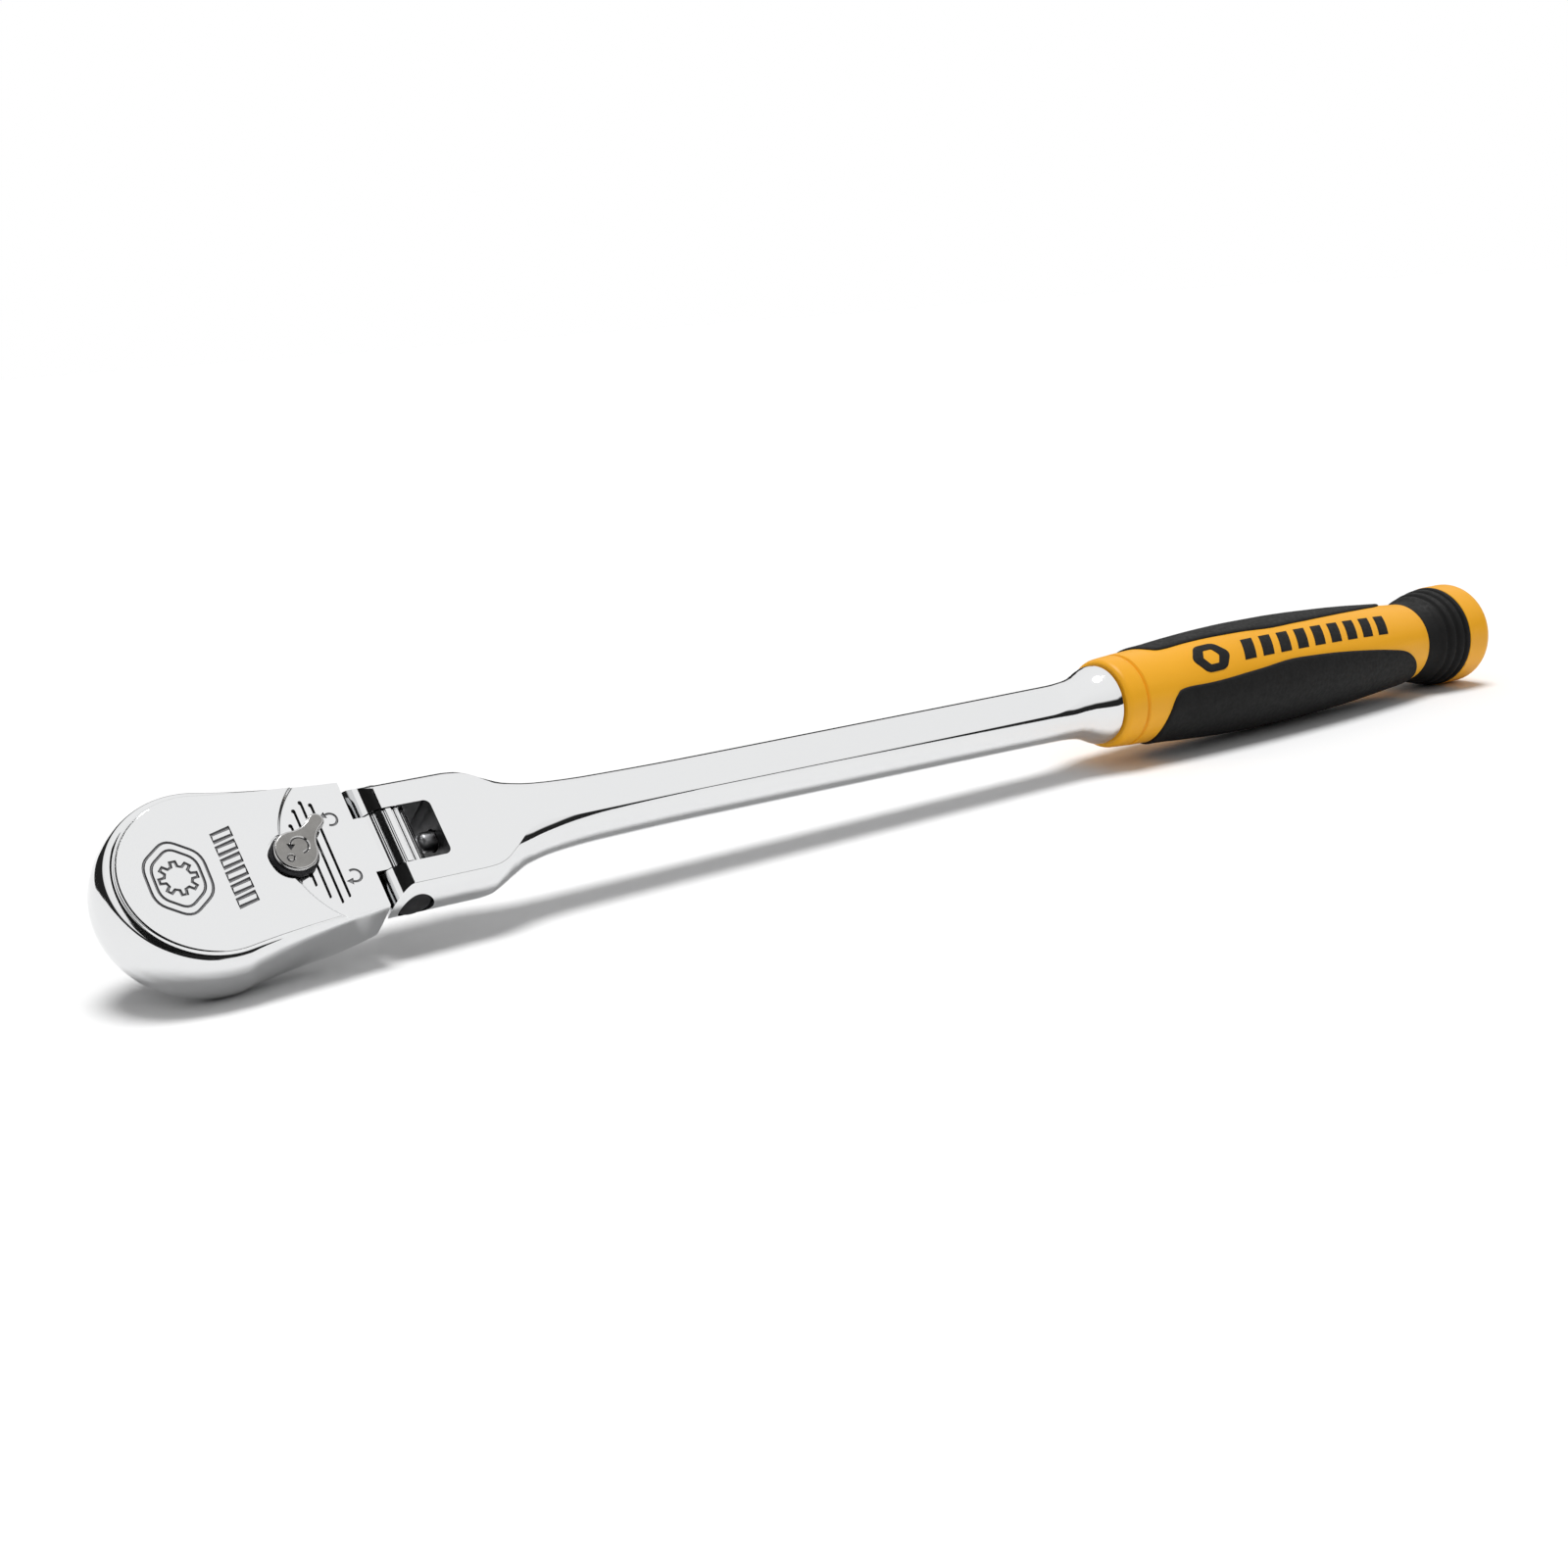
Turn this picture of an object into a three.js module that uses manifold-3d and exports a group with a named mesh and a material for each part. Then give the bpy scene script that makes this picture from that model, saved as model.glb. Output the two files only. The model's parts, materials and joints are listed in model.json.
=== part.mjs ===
// Flex-head ratchet wrench, 3/8 in square drive, in millimetres.
// The origin is the centre of the drive square's end face. The drive axis is Z, the lever is on
// top and the handle points towards +X, straight in line with the head.
import * as THREE from 'three';
import { mergeVertices } from 'three/addons/utils/BufferGeometryUtils.js';
import Module from 'manifold-3d';

const wasm = await Module();
wasm.setup();
const radians = THREE.MathUtils.degToRad;

// ---- Driving dimensions -------------------------------------------------------------------

const GAP = 0.3; // left between pieces that touch on the real tool
const OVER = 1; // how far a cutter runs past the face it opens
const WIDE = 20; // half width of a cutter that passes right through the tool
const TALL = 40; // height of a cutter that passes right through the head
const ROUND = 40; // sides of the larger round faces
const SMALL_ROUND = 24;

// Drive square and the levels of the head, measured up from the end of the square
const DRIVE_SIDE = 9.525;
const TANG_LENGTH = 11;
const HEAD_BOTTOM = TANG_LENGTH;
const AXIS_Z = 20.4; // the tool's middle plane, which the flex pin lies in
const HEAD_TOP = AXIS_Z + 4.9;
const DECK_Z = AXIS_Z + 4.2; // sunk fan-shaped deck behind the lever

// Plan of the head
const NOSE_RADIUS = 14.6; // edge of the flat top round the drive axis
const NOSE_END = radians(81.4); // where the round nose runs out into the sides
const REAR_X = 27.1;
const REAR_HALF = 12.2;
const WAIST = [12, 12.94]; // control point of each side's shallow curve
const REAR_SWELL = 0.2; // share of the nose's side bulge that reaches the rear
const DECK_ARC_X = 30.45;
const DECK_ARC_RADIUS = 17.3;
const DECK_GROOVES = [[16.25, 6.15], [17.75, 8.8], [19.4, 10.15], [20.95, 9.35]]; // place, half length
const GROOVE_HALF = 0.32;
const GROOVE_DEPTH = 0.35;

// The underside rises from behind the cover plate to the flex joint
const RISE_START = 14.5;
const RISE_BEND = [18, 12];
const RISE_END = AXIS_Z - 4.6;

// Side wall of the head: height about the middle plane, and bulge beyond the flat top's edge
const WALL = [
  [-9.4, -0.1], [-9.0, 0.7], [-8.0, 1.6], [-6.5, 2.3], [-4, 2.6], [-2, 2.6],
  [0, 2.3], [2, 1.8], [3.6, 1.35], [4.3, 1.0], [4.75, 0.5], [4.9, 0],
];

// Flex joint
const FLEX_X = 33.2;
const KNUCKLE_RADIUS = 4.8;
const TONGUE_HALF = 5.3;
const TONGUE_HEIGHT = 3.3;
const SLOT_HALF = 5.5;
const SLOT_REAR = 8;
const SLOT_CORNER = 1;
const PIN_RADIUS = 3.1;
const PIN_HOLE = 3.3;
const PIN_HALF = 11.5;

// Ratchet gear and its bore
const TEETH = 60;
const PITCH = 360 / TEETH;
const TIP_RADIUS = 8.4;
const ROOT_RADIUS = 7.9;
const GEAR_BOTTOM = 14.1;
const GEAR_TOP = 22.5;
const GEAR_BORE = 8.7;
const CAVITY_TOP = GEAR_TOP + GAP;
const JOURNAL_RADIUS = 7.1;
const JOURNAL_END = HEAD_BOTTOM - 0.4;
const PILOT_RADIUS = 4;
const PILOT_TOP = GEAR_TOP + 1;
const BEARING_GAP = 0.25; // round a turning piece
const TOOTH_TIP_HALF = 0.075;
const TOOTH_FLANK = 0.28; // width of each sloping flank
const FLANK_SPREAD = 1.15; // how much wider a flank's margin is along the arc than square to it

// Cover plate, its seat and its retaining ring
const COVER_RADIUS = 12.3;
const COVER_HOLE = 7.35;
const COVER_BOTTOM = 12.4;
const COVER_TOP = 13.3;
const SEAT_TOP = COVER_TOP + GAP;
const RING_OUTER = 12.9;
const RING_INNER = 11.6;
const RING_BOTTOM = 11.45;
const RING_TOP = 12.1;
const RING_GAP = radians(9); // half the angle between the ring's ends
const LUG_REACH = radians(15);
const LUG_INNER = 10.3;
const LUG_EYE = 0.5;

// Reversing lever, its stem, and the two plungers in the stem
const STEM_X = 14.6;
const STEM_RADIUS = 3;
const STEM_BORE = 3.3;
const STEM_BOTTOM = 14.2;
const BOSS_RADIUS = 4.1;
const BOSS_BOTTOM = DECK_Z + GAP;
const LEVER_BOTTOM = HEAD_TOP + GAP;
const LEVER_TOP = AXIS_Z + 6.5;
const LEVER_DISC = 3.7;
const KNOB_REACH = 7.1;
const KNOB_RADIUS = 1.35;
const LEVER_ANGLE = radians(42.5);
const LEVER_SHOULDER = radians(36); // where the disc runs out into the hollow flanks
const LEVER_WAIST = [4.6, 1.15]; // control point of each flank
const SEAL_TOP = DECK_Z - 0.3;
const SEAL_GROOVE = 1.3;
const SEAL_SEAT = 2.2; // radius of the stem in the seal's groove
const PLUNGER_RADIUS = 0.9;
const PLUNGER_TIP = 4.2; // from the stem's axis
const PLUNGER_BASE = 1.2;
const PLUNGER_BORE = 1.05;
const PLUNGER_BORE_END = -1.9;
const SWEEP_RADIUS = PLUNGER_TIP + BEARING_GAP; // room for the plungers as the stem turns

// Pawls: two alike, one over the other, each rocking about an upright axis
const PAWL_PIVOT = 10.4;
const PAWL_OUTER = 11.3;
const PAWL_TIP = 8.55; // tooth tips with the pawl square to the gear
const PAWL_SPAN = radians(40);
const PAWL_WING = radians(16); // the teeth start this far from the middle
const PAWL_RELIEF = 8.95;
const PAWL_HOLLOW = 4.4; // concave back, round the stem's axis
const COIL_TURNS = 3.5; // of the short springs
const PAWL_LEVELS = { lower: [13.75, 18.05], upper: [18.25, 22.5] };
const PAWL_ENGAGED = radians(4.8);
const PAWL_RIDING = radians(0.5); // lower pawl, half a tooth out of step, on the tooth tips
const TOOTH_CLEARANCE = 0.12;
const POCKET_RADIUS = 11.95;
const POCKET_SPAN = radians(43);

// Detent ball in the drive square's -Y face
const BALL_RADIUS = 1.9;
const BALL_Z = 4.4;
const BALL_Y = -DRIVE_SIDE / 2 + 1;
const BALL_BORE = 2.05;
const BALL_BORE_END = 1.5;

// Handle, measured from the flex pin along the handle
const NOSE_ARC = 4.9; // front of the yoke's ears, round the pin
const FERRULE_END = 166.2;
const CORE_RADIUS = 5;
const CORE_END = 262;
const FLEX_BORE = 2.1;
const FLEX_BORE_END = 22;
const FLEX_PLUNGER_RADIUS = 1.8;
const FLEX_PLUNGER_END = 12;

// Stations of the handle: distance, half width at mid height, half width and height of the flat
const BAR = [
  [-5, 11.95, 9.5, 4.9], [13, 11.95, 9.5, 4.9], [15.3, 11.7, 9.4, 4.9], [17, 11, 8.9, 4.9],
  [20, 9.6, 6.9, 4.9], [24, 7.9, 4.4, 4.93], [28.6, 6.85, 3.4, 4.98], [33, 6.4, 3.3, 5],
  [40, 6, 3.25, 5], [60, 5.75, 3.25, 5], [110, 5.9, 3.25, 5], [148, 6.05, 3.1, 5.02],
  [154, 6.1, 2.2, 5.4], [157, 6.2, 0.8, 6.1], [159, 6.45, 0.05, 6.45], [161.5, 7.15, 0.05, 7.15],
  [164, 8.1, 0.05, 8.1], [165.6, 8.5, 0.05, 8.5], [FERRULE_END, 8.3, 0.05, 8.3],
];

// Grip, as distance and radius
const COLLAR_FRONT = 166.7;
const SLEEVE_END = 266.6;
const SLEEVE = [
  [COLLAR_FRONT, 8.6], [167.2, 9.2], [168.2, 9.6], [171.7, 9.85], [171.9, 9.5], [172.4, 9.5],
  [172.6, 9.95], [181, 10.3], [190, 10.95], [200, 11.5], [210, 11.75], [220, 11.75], [230, 11.55],
  [240, 11.1], [250, 10.45], [260, 9.65], [SLEEVE_END, 9.15],
];
const SLEEVE_BORE = CORE_RADIUS + GAP;
const PAD_RISE = 0.5; // the soft pads stand this proud of the sleeve
const PAD_DEPTH = 1.3;
const PAD_INSIDE = 2.8; // the pads keep this far from the tool's middle plane
const PAD_EDGE = [
  [177.2, 0], [178.9, 6.4], [181.4, 8.8], [191.5, 9.6], [203, 10.4], [216, 10.9], [230, 10.6],
  [243, 9.5], [255, 8], [260, 5.8], [263.2, 2.2],
];
const PAD_END_X = 263.8;
const NECK_START = SLEEVE_END + GAP;
const NECK_END = 278.6;
const NECK_BORE = 6.3;
const NECK_ROOT = [9.2, 11.3]; // radius between the ribs at each end of the neck
const NECK_RIBS = 3;
const RIB_HEIGHT = 0.55;
const CAP_START = NECK_END + GAP;
const CAP_RADIUS = 11.88;
const CAP_EDGE = 285.3; // where the cap's side starts to round over
const CAP_END = 287.2;

// ---- Solids -------------------------------------------------------------------------------

function solid(geometry) {
  const bare = geometry.clone();
  bare.deleteAttribute('normal');
  bare.deleteAttribute('uv');
  const merged = mergeVertices(bare, 1e-5);
  const vertProperties = new Float32Array(merged.attributes.position.array);
  const triVerts = new Uint32Array(merged.index.array);
  return new wasm.Manifold(new wasm.Mesh({ numProp: 3, vertProperties, triVerts }));
}

function geometryOf(body) {
  const { vertProperties, triVerts } = body.getMesh();
  const geometry = new THREE.BufferGeometry();
  geometry.setAttribute('position', new THREE.Float32BufferAttribute(vertProperties, 3));
  geometry.setIndex(new THREE.Uint32BufferAttribute(triVerts, 1));
  geometry.computeVertexNormals();
  return geometry;
}

const joined = (...bodies) => bodies.reduce((sum, body) => sum.add(body));
const cut = (body, ...cutters) => cutters.reduce((rest, cutter) => rest.subtract(cutter), body);

function block(x, y, z) {
  const geometry = new THREE.BoxGeometry(x[1] - x[0], y[1] - y[0], z[1] - z[0]);
  geometry.translate((x[0] + x[1]) / 2, (y[0] + y[1]) / 2, (z[0] + z[1]) / 2);
  return solid(geometry);
}

// A cylinder along the named axis, from start to end on it, centred at the other two coordinates
function rod(axis, radius, start, end, a = 0, b = 0, segments = SMALL_ROUND) {
  const geometry = new THREE.CylinderGeometry(radius, radius, end - start, segments);
  const middle = (start + end) / 2;
  if (axis === 'x') geometry.rotateZ(-Math.PI / 2).translate(middle, a, b);
  if (axis === 'y') geometry.translate(a, middle, b);
  if (axis === 'z') geometry.rotateX(Math.PI / 2).translate(a, b, middle);
  return solid(geometry);
}

// A solid turned about the X or Z axis from a closed profile of [along, radius] points
function turned(axis, profile, segments = ROUND) {
  const points = profile.map(([along, radius]) => new THREE.Vector2(radius, along));
  const geometry = new THREE.LatheGeometry(points, segments);
  if (axis === 'x') geometry.rotateZ(-Math.PI / 2);
  if (axis === 'z') geometry.rotateX(Math.PI / 2);
  return positive(geometry);
}

// A profile may run either way round, so a solid that comes out inside out is turned over
function positive(geometry) {
  const body = solid(geometry);
  if (body.volume() > 0) return body;
  const flipped = mergeVertices(geometry.clone(), 1e-5).toNonIndexed();
  const position = flipped.attributes.position;
  for (let i = 0; i < position.count; i += 3) {
    const second = new THREE.Vector3().fromBufferAttribute(position, i + 1);
    const third = new THREE.Vector3().fromBufferAttribute(position, i + 2);
    position.setXYZ(i + 1, third.x, third.y, third.z);
    position.setXYZ(i + 2, second.x, second.y, second.z);
  }
  return solid(flipped);
}

function prism(shape, bottom, top, curveSegments = 12) {
  const options = { depth: top - bottom, bevelEnabled: false, curveSegments };
  return solid(new THREE.ExtrudeGeometry(shape, options).translate(0, 0, bottom));
}

// The same, drawn in the XZ plane and extruded across the tool
function sideways(shape, left, right, curveSegments = 12) {
  const options = { depth: right - left, bevelEnabled: false, curveSegments };
  const geometry = new THREE.ExtrudeGeometry(shape, options);
  return solid(geometry.rotateX(Math.PI / 2).translate(0, right, 0));
}

// A closed skin over rings of points that all have the same count
function loft(rings) {
  const count = rings[0].length;
  const centre = (ring) => ring.reduce((sum, p) => sum.add(p), new THREE.Vector3())
    .divideScalar(ring.length);
  const points = [...rings.flat(), centre(rings[0]), centre(rings.at(-1))];
  const index = [];
  for (let i = 0; i < count; i += 1) {
    const next = (i + 1) % count;
    for (let r = 0; r + 1 < rings.length; r += 1) {
      const [a, b] = [r * count + i, r * count + next];
      index.push(a, b, b + count, a, b + count, a + count);
    }
    const last = (rings.length - 1) * count;
    index.push(points.length - 2, next, i, points.length - 1, last + i, last + next);
  }
  const geometry = new THREE.BufferGeometry().setFromPoints(points);
  geometry.setIndex(index);
  return positive(geometry);
}

class Helix extends THREE.Curve {
  constructor(radius, length, turns) {
    super();
    Object.assign(this, { radius, length, turns });
  }

  getPoint(t, target = new THREE.Vector3()) {
    const angle = 2 * Math.PI * this.turns * t;
    return target.set(this.length * t, this.radius * Math.cos(angle), this.radius * Math.sin(angle));
  }
}

// A coil spring along X, from start to end
function spring(start, end, outer, wire, turns) {
  const section = new THREE.Shape().absarc(0, 0, wire, 0, 2 * Math.PI);
  const length = end - start - 2 * wire;
  const options = {
    steps: Math.round(turns * 8),
    extrudePath: new Helix(outer - wire, length, turns),
    curveSegments: 2,
    bevelEnabled: false,
  };
  return solid(new THREE.ExtrudeGeometry(section, options).translate(start + wire, 0, 0));
}

// ---- Materials ----------------------------------------------------------------------------

const finish = (color, roughness, metalness) => () => (
  new THREE.MeshStandardMaterial({ color, roughness, metalness }));
const chrome = finish(0xdfe1e4, 0.08, 1);
const satinSteel = finish(0x9b9a98, 0.35, 1);
const gearSteel = finish(0x77777a, 0.35, 1);
const springSteel = finish(0xa8a8aa, 0.3, 1);
const blackSteel = finish(0x19191b, 0.45, 0.6);
const orangePlastic = finish(0xe6941d, 0.5, 0);
const blackRubber = finish(0x2b2b2d, 0.8, 0);

const tool = new THREE.Group();
const handle = new THREE.Group();
tool.add(handle);

function add(group, name, body, material) {
  const mesh = new THREE.Mesh(geometryOf(body), material());
  mesh.name = name;
  group.add(mesh);
  return mesh;
}

// ---- Head ---------------------------------------------------------------------------------

function headOutline(bulge) {
  const radius = NOSE_RADIUS + bulge;
  const [c, s] = [radius * Math.cos(NOSE_END), radius * Math.sin(NOSE_END)];
  const rear = REAR_HALF + bulge * REAR_SWELL;
  const waist = WAIST[1] + bulge * (1 + REAR_SWELL) / 2;
  const shape = new THREE.Shape();
  shape.moveTo(REAR_X, -rear);
  shape.lineTo(REAR_X, rear);
  shape.quadraticCurveTo(WAIST[0], waist, c, s);
  shape.absarc(0, 0, radius, NOSE_END, 2 * Math.PI - NOSE_END);
  shape.quadraticCurveTo(WAIST[0], -waist, REAR_X, -rear);
  const points = shape.getPoints(6);
  points.pop(); // the last point repeats the first
  return points;
}

function headBlank() {
  const rings = WALL.map(([height, bulge]) => (
    headOutline(bulge).map((p) => new THREE.Vector3(p.x, p.y, AXIS_Z + height))));
  return loft(rings);
}

function undersideCutter() {
  const rise = new THREE.Shape();
  rise.moveTo(RISE_START, HEAD_BOTTOM - OVER);
  rise.lineTo(RISE_START, HEAD_BOTTOM);
  rise.quadraticCurveTo(...RISE_BEND, REAR_X + OVER, RISE_END);
  rise.lineTo(REAR_X + OVER, HEAD_BOTTOM - OVER);
  return sideways(rise, -WIDE, WIDE, 6);
}

function deckGrooves() {
  return DECK_GROOVES.map(([x, reach]) => block(
    [x - GROOVE_HALF, x + GROOVE_HALF],
    [-reach, reach],
    [DECK_Z - GROOVE_DEPTH, DECK_Z + OVER],
  ));
}

function sector(inner, outer, span) {
  const shape = new THREE.Shape();
  shape.absarc(0, 0, outer, -span, span);
  shape.absarc(0, 0, inner, span, -span, true);
  return shape;
}

function headHousing() {
  const tongue = block(
    [REAR_X - OVER, FLEX_X],
    [-TONGUE_HALF, TONGUE_HALF],
    [AXIS_Z - TONGUE_HEIGHT, AXIS_Z + TONGUE_HEIGHT],
  );
  const knuckle = rod('y', KNUCKLE_RADIUS, -TONGUE_HALF, TONGUE_HALF, FLEX_X, AXIS_Z, ROUND);
  const blank = joined(cut(headBlank(), undersideCutter()), tongue, knuckle);
  const deck = rod('z', DECK_ARC_RADIUS, DECK_Z, HEAD_TOP + OVER, DECK_ARC_X, 0, 72);
  const behind = block([REAR_X, DECK_ARC_X + DECK_ARC_RADIUS], [-WIDE, WIDE], [0, TALL]);
  const plungerSweep = rod('z', SWEEP_RADIUS, STEM_BOTTOM - GAP, CAVITY_TOP, STEM_X, 0, ROUND)
    .intersect(block([0, STEM_X], [-WIDE, WIDE], [0, TALL]));
  return cut(
    blank,
    cut(deck, behind),
    plungerSweep,
    ...deckGrooves(),
    rod('z', BOSS_RADIUS + BEARING_GAP, DECK_Z, HEAD_TOP + OVER, STEM_X, 0, ROUND),
    rod('z', STEM_BORE, STEM_BOTTOM - GAP, HEAD_TOP, STEM_X),
    rod('z', GEAR_BORE, HEAD_BOTTOM - OVER, CAVITY_TOP, 0, 0, ROUND),
    rod('z', PILOT_RADIUS + BEARING_GAP, CAVITY_TOP - OVER, PILOT_TOP + GAP),
    prism(sector(GEAR_BORE - OVER, POCKET_RADIUS, POCKET_SPAN), SEAT_TOP - OVER, CAVITY_TOP, 10),
    rod('z', COVER_RADIUS + GAP, HEAD_BOTTOM - OVER, SEAT_TOP, 0, 0, ROUND),
    rod('z', RING_OUTER + GAP, RING_BOTTOM - 0.2, RING_TOP + 0.15, 0, 0, ROUND),
    rod('y', PIN_HOLE, -TONGUE_HALF - OVER, TONGUE_HALF + OVER, FLEX_X, AXIS_Z),
  );
}

function coverPlate() {
  const plate = rod('z', COVER_RADIUS, COVER_BOTTOM, COVER_TOP, 0, 0, ROUND);
  return cut(plate, rod('z', COVER_HOLE, COVER_BOTTOM - OVER, COVER_TOP + OVER, 0, 0, ROUND));
}

// An open ring with a drilled lug at each end, its opening towards the nose
function retainingRing() {
  const ring = prism(sector(RING_INNER, RING_OUTER, Math.PI - RING_GAP), RING_BOTTOM, RING_TOP, 30);
  const lug = sector(LUG_INNER, RING_OUTER - 0.2, (LUG_REACH - RING_GAP) / 2);
  const middle = (LUG_REACH + RING_GAP) / 2;
  const eye = rod('z', LUG_EYE, 0, HEAD_TOP, (LUG_INNER + RING_INNER) / 2 + 0.2, 0, 12);
  return [1, -1].reduce((whole, side) => {
    const turn = [0, 0, side * (180 - THREE.MathUtils.radToDeg(middle))];
    const body = prism(lug, RING_BOTTOM, RING_TOP, 3).rotate(turn);
    return cut(whole.add(body), eye.rotate(turn));
  }, ring);
}

function gearWasher() {
  const [inner, outer] = [JOURNAL_RADIUS + BEARING_GAP, TIP_RADIUS - 0.1];
  const [bottom, top] = [COVER_TOP + 0.2, GEAR_BOTTOM - BEARING_GAP];
  const washer = rod('z', outer, bottom, top, 0, 0, ROUND);
  return cut(washer, rod('z', inner, bottom - OVER, top + OVER, 0, 0, ROUND));
}

// ---- Drive gear with its square -----------------------------------------------------------

// Straight-sided teeth; grow moves every flank out by that much
function gearOutline(turn = 0, grow = 0) {
  const [tipHalf, flank] = [TOOTH_TIP_HALF / TIP_RADIUS, TOOTH_FLANK / TIP_RADIUS];
  const spread = grow * FLANK_SPREAD / TIP_RADIUS;
  const pitch = radians(PITCH);
  const rootHalf = Math.min(tipHalf + flank + spread, pitch / 2 - 0.0005);
  const shape = new THREE.Shape();
  for (let tooth = 0; tooth < TEETH; tooth += 1) {
    const middle = turn + tooth * pitch;
    const corners = [
      [middle - rootHalf, ROOT_RADIUS + grow], [middle - tipHalf - spread, TIP_RADIUS + grow],
      [middle + tipHalf + spread, TIP_RADIUS + grow], [middle + rootHalf, ROOT_RADIUS + grow],
    ];
    corners.forEach(([angle, radius], i) => {
      const at = [radius * Math.cos(angle), radius * Math.sin(angle)];
      if (tooth === 0 && i === 0) shape.moveTo(...at);
      else shape.lineTo(...at);
    });
  }
  return shape;
}

function driveGear() {
  const square = new THREE.Shape();
  const [half, corner] = [DRIVE_SIDE / 2, 0.7];
  square.moveTo(-half + corner, -half);
  square.lineTo(half - corner, -half).lineTo(half, -half + corner);
  square.lineTo(half, half - corner).lineTo(half - corner, half);
  square.lineTo(-half + corner, half).lineTo(-half, half - corner);
  square.lineTo(-half, -half + corner);
  const tang = prism(square, 0, JOURNAL_END + OVER);
  const chamfer = turned('z', [
    [-OVER, 0], [-OVER, half - 0.6], [3, half + 3.4], [JOURNAL_END + OVER, half + 3.4],
    [JOURNAL_END + OVER, 0],
  ]);
  return cut(
    joined(
      prism(gearOutline(), GEAR_BOTTOM, GEAR_TOP),
      rod('z', JOURNAL_RADIUS, JOURNAL_END, GEAR_BOTTOM + OVER, 0, 0, ROUND),
      rod('z', PILOT_RADIUS, GEAR_TOP - OVER, PILOT_TOP),
      tang.intersect(chamfer),
    ),
    rod('y', BALL_BORE, -half - OVER, BALL_BORE_END, 0, BALL_Z),
  );
}

// ---- Pawls --------------------------------------------------------------------------------

// Angle of the pawl's rock in degrees for the manifold rotation, about its own upright axis
function rocked(body, angle) {
  return body.translate([-PAWL_PIVOT, 0, 0])
    .rotate([0, 0, THREE.MathUtils.radToDeg(angle)])
    .translate([PAWL_PIVOT, 0, 0]);
}

function pawl([bottom, top], mesh, rest) {
  const plate = prism(sector(PAWL_TIP, PAWL_OUTER, PAWL_SPAN), bottom, top, 10);
  const relief = prism(sector(PAWL_TIP - OVER, PAWL_RELIEF, PAWL_WING), 0, 30, 5);
  const hollow = rod('z', PAWL_HOLLOW, 0, 30, STEM_X, 0, ROUND);
  const gear = prism(gearOutline(mesh, TOOTH_CLEARANCE), 0, 30);
  const body = cut(plate, relief, hollow, rocked(gear, PAWL_ENGAGED), rocked(gear, -PAWL_ENGAGED));
  return rocked(body, -rest);
}

// ---- Lever and plungers -------------------------------------------------------------------

function leverPlate() {
  const [waistX, waistY] = LEVER_WAIST;
  const shoulder = new THREE.Vector2(LEVER_DISC, 0).rotateAround(new THREE.Vector2(), LEVER_SHOULDER);
  const knobEnd = radians(110);
  const shape = new THREE.Shape();
  shape.absarc(0, 0, LEVER_DISC, LEVER_SHOULDER, 2 * Math.PI - LEVER_SHOULDER);
  shape.quadraticCurveTo(
    waistX, -waistY,
    KNOB_REACH + KNOB_RADIUS * Math.cos(knobEnd), -KNOB_RADIUS * Math.sin(knobEnd),
  );
  shape.absarc(KNOB_REACH, 0, KNOB_RADIUS, -knobEnd, knobEnd);
  shape.quadraticCurveTo(waistX, waistY, shoulder.x, shoulder.y);
  return prism(shape, LEVER_BOTTOM, LEVER_TOP, 10);
}

// Built with its knob along +X and its stem on the Z axis
function reverseLever() {
  const bores = Object.values(PAWL_LEVELS).map(([bottom, top]) => (
    rod('x', PLUNGER_BORE, -STEM_RADIUS - OVER, -PLUNGER_BORE_END, 0, (bottom + top) / 2, 16)));
  const groove = cut(
    rod('z', STEM_RADIUS + OVER, SEAL_TOP - SEAL_GROOVE, SEAL_TOP),
    rod('z', SEAL_SEAT, 0, HEAD_TOP),
  );
  const stem = cut(rod('z', STEM_RADIUS, STEM_BOTTOM, BOSS_BOTTOM + OVER), groove, ...bores);
  const boss = rod('z', BOSS_RADIUS, BOSS_BOTTOM, LEVER_BOTTOM + 0.1, 0, 0, ROUND);
  return joined(leverPlate(), boss, stem);
}

function leverSeal() {
  const [bottom, top] = [SEAL_TOP - SEAL_GROOVE + BEARING_GAP, SEAL_TOP - BEARING_GAP];
  const inside = rod('z', SEAL_SEAT + BEARING_GAP, bottom - OVER, top + OVER);
  return cut(rod('z', STEM_RADIUS, bottom, top), inside);
}

function pawlPlunger() {
  const nose = 0.55;
  return turned('x', [
    [PLUNGER_BASE, 0], [PLUNGER_BASE, PLUNGER_RADIUS], [PLUNGER_TIP - nose, PLUNGER_RADIUS],
    [PLUNGER_TIP - 0.2, 0.6], [PLUNGER_TIP, 0],
  ], 12);
}

// ---- Handle -------------------------------------------------------------------------------

// Flat top and bottom, joined on each side by an arc through the widest point
function barSection([x, half, flat, height]) {
  const rise = half - flat;
  const radius = (height * height + rise * rise) / (2 * rise);
  const reach = Math.asin(Math.min(1, height / radius));
  const steps = 7;
  const ring = [];
  for (const side of [1, -1]) {
    for (let i = 0; i <= steps; i += 1) {
      const angle = reach * (1 - 2 * i / steps);
      const [y, z] = [half - radius + radius * Math.cos(angle), radius * Math.sin(angle)];
      ring.push(new THREE.Vector3(x, side * y, side * z));
    }
  }
  return ring;
}

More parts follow.
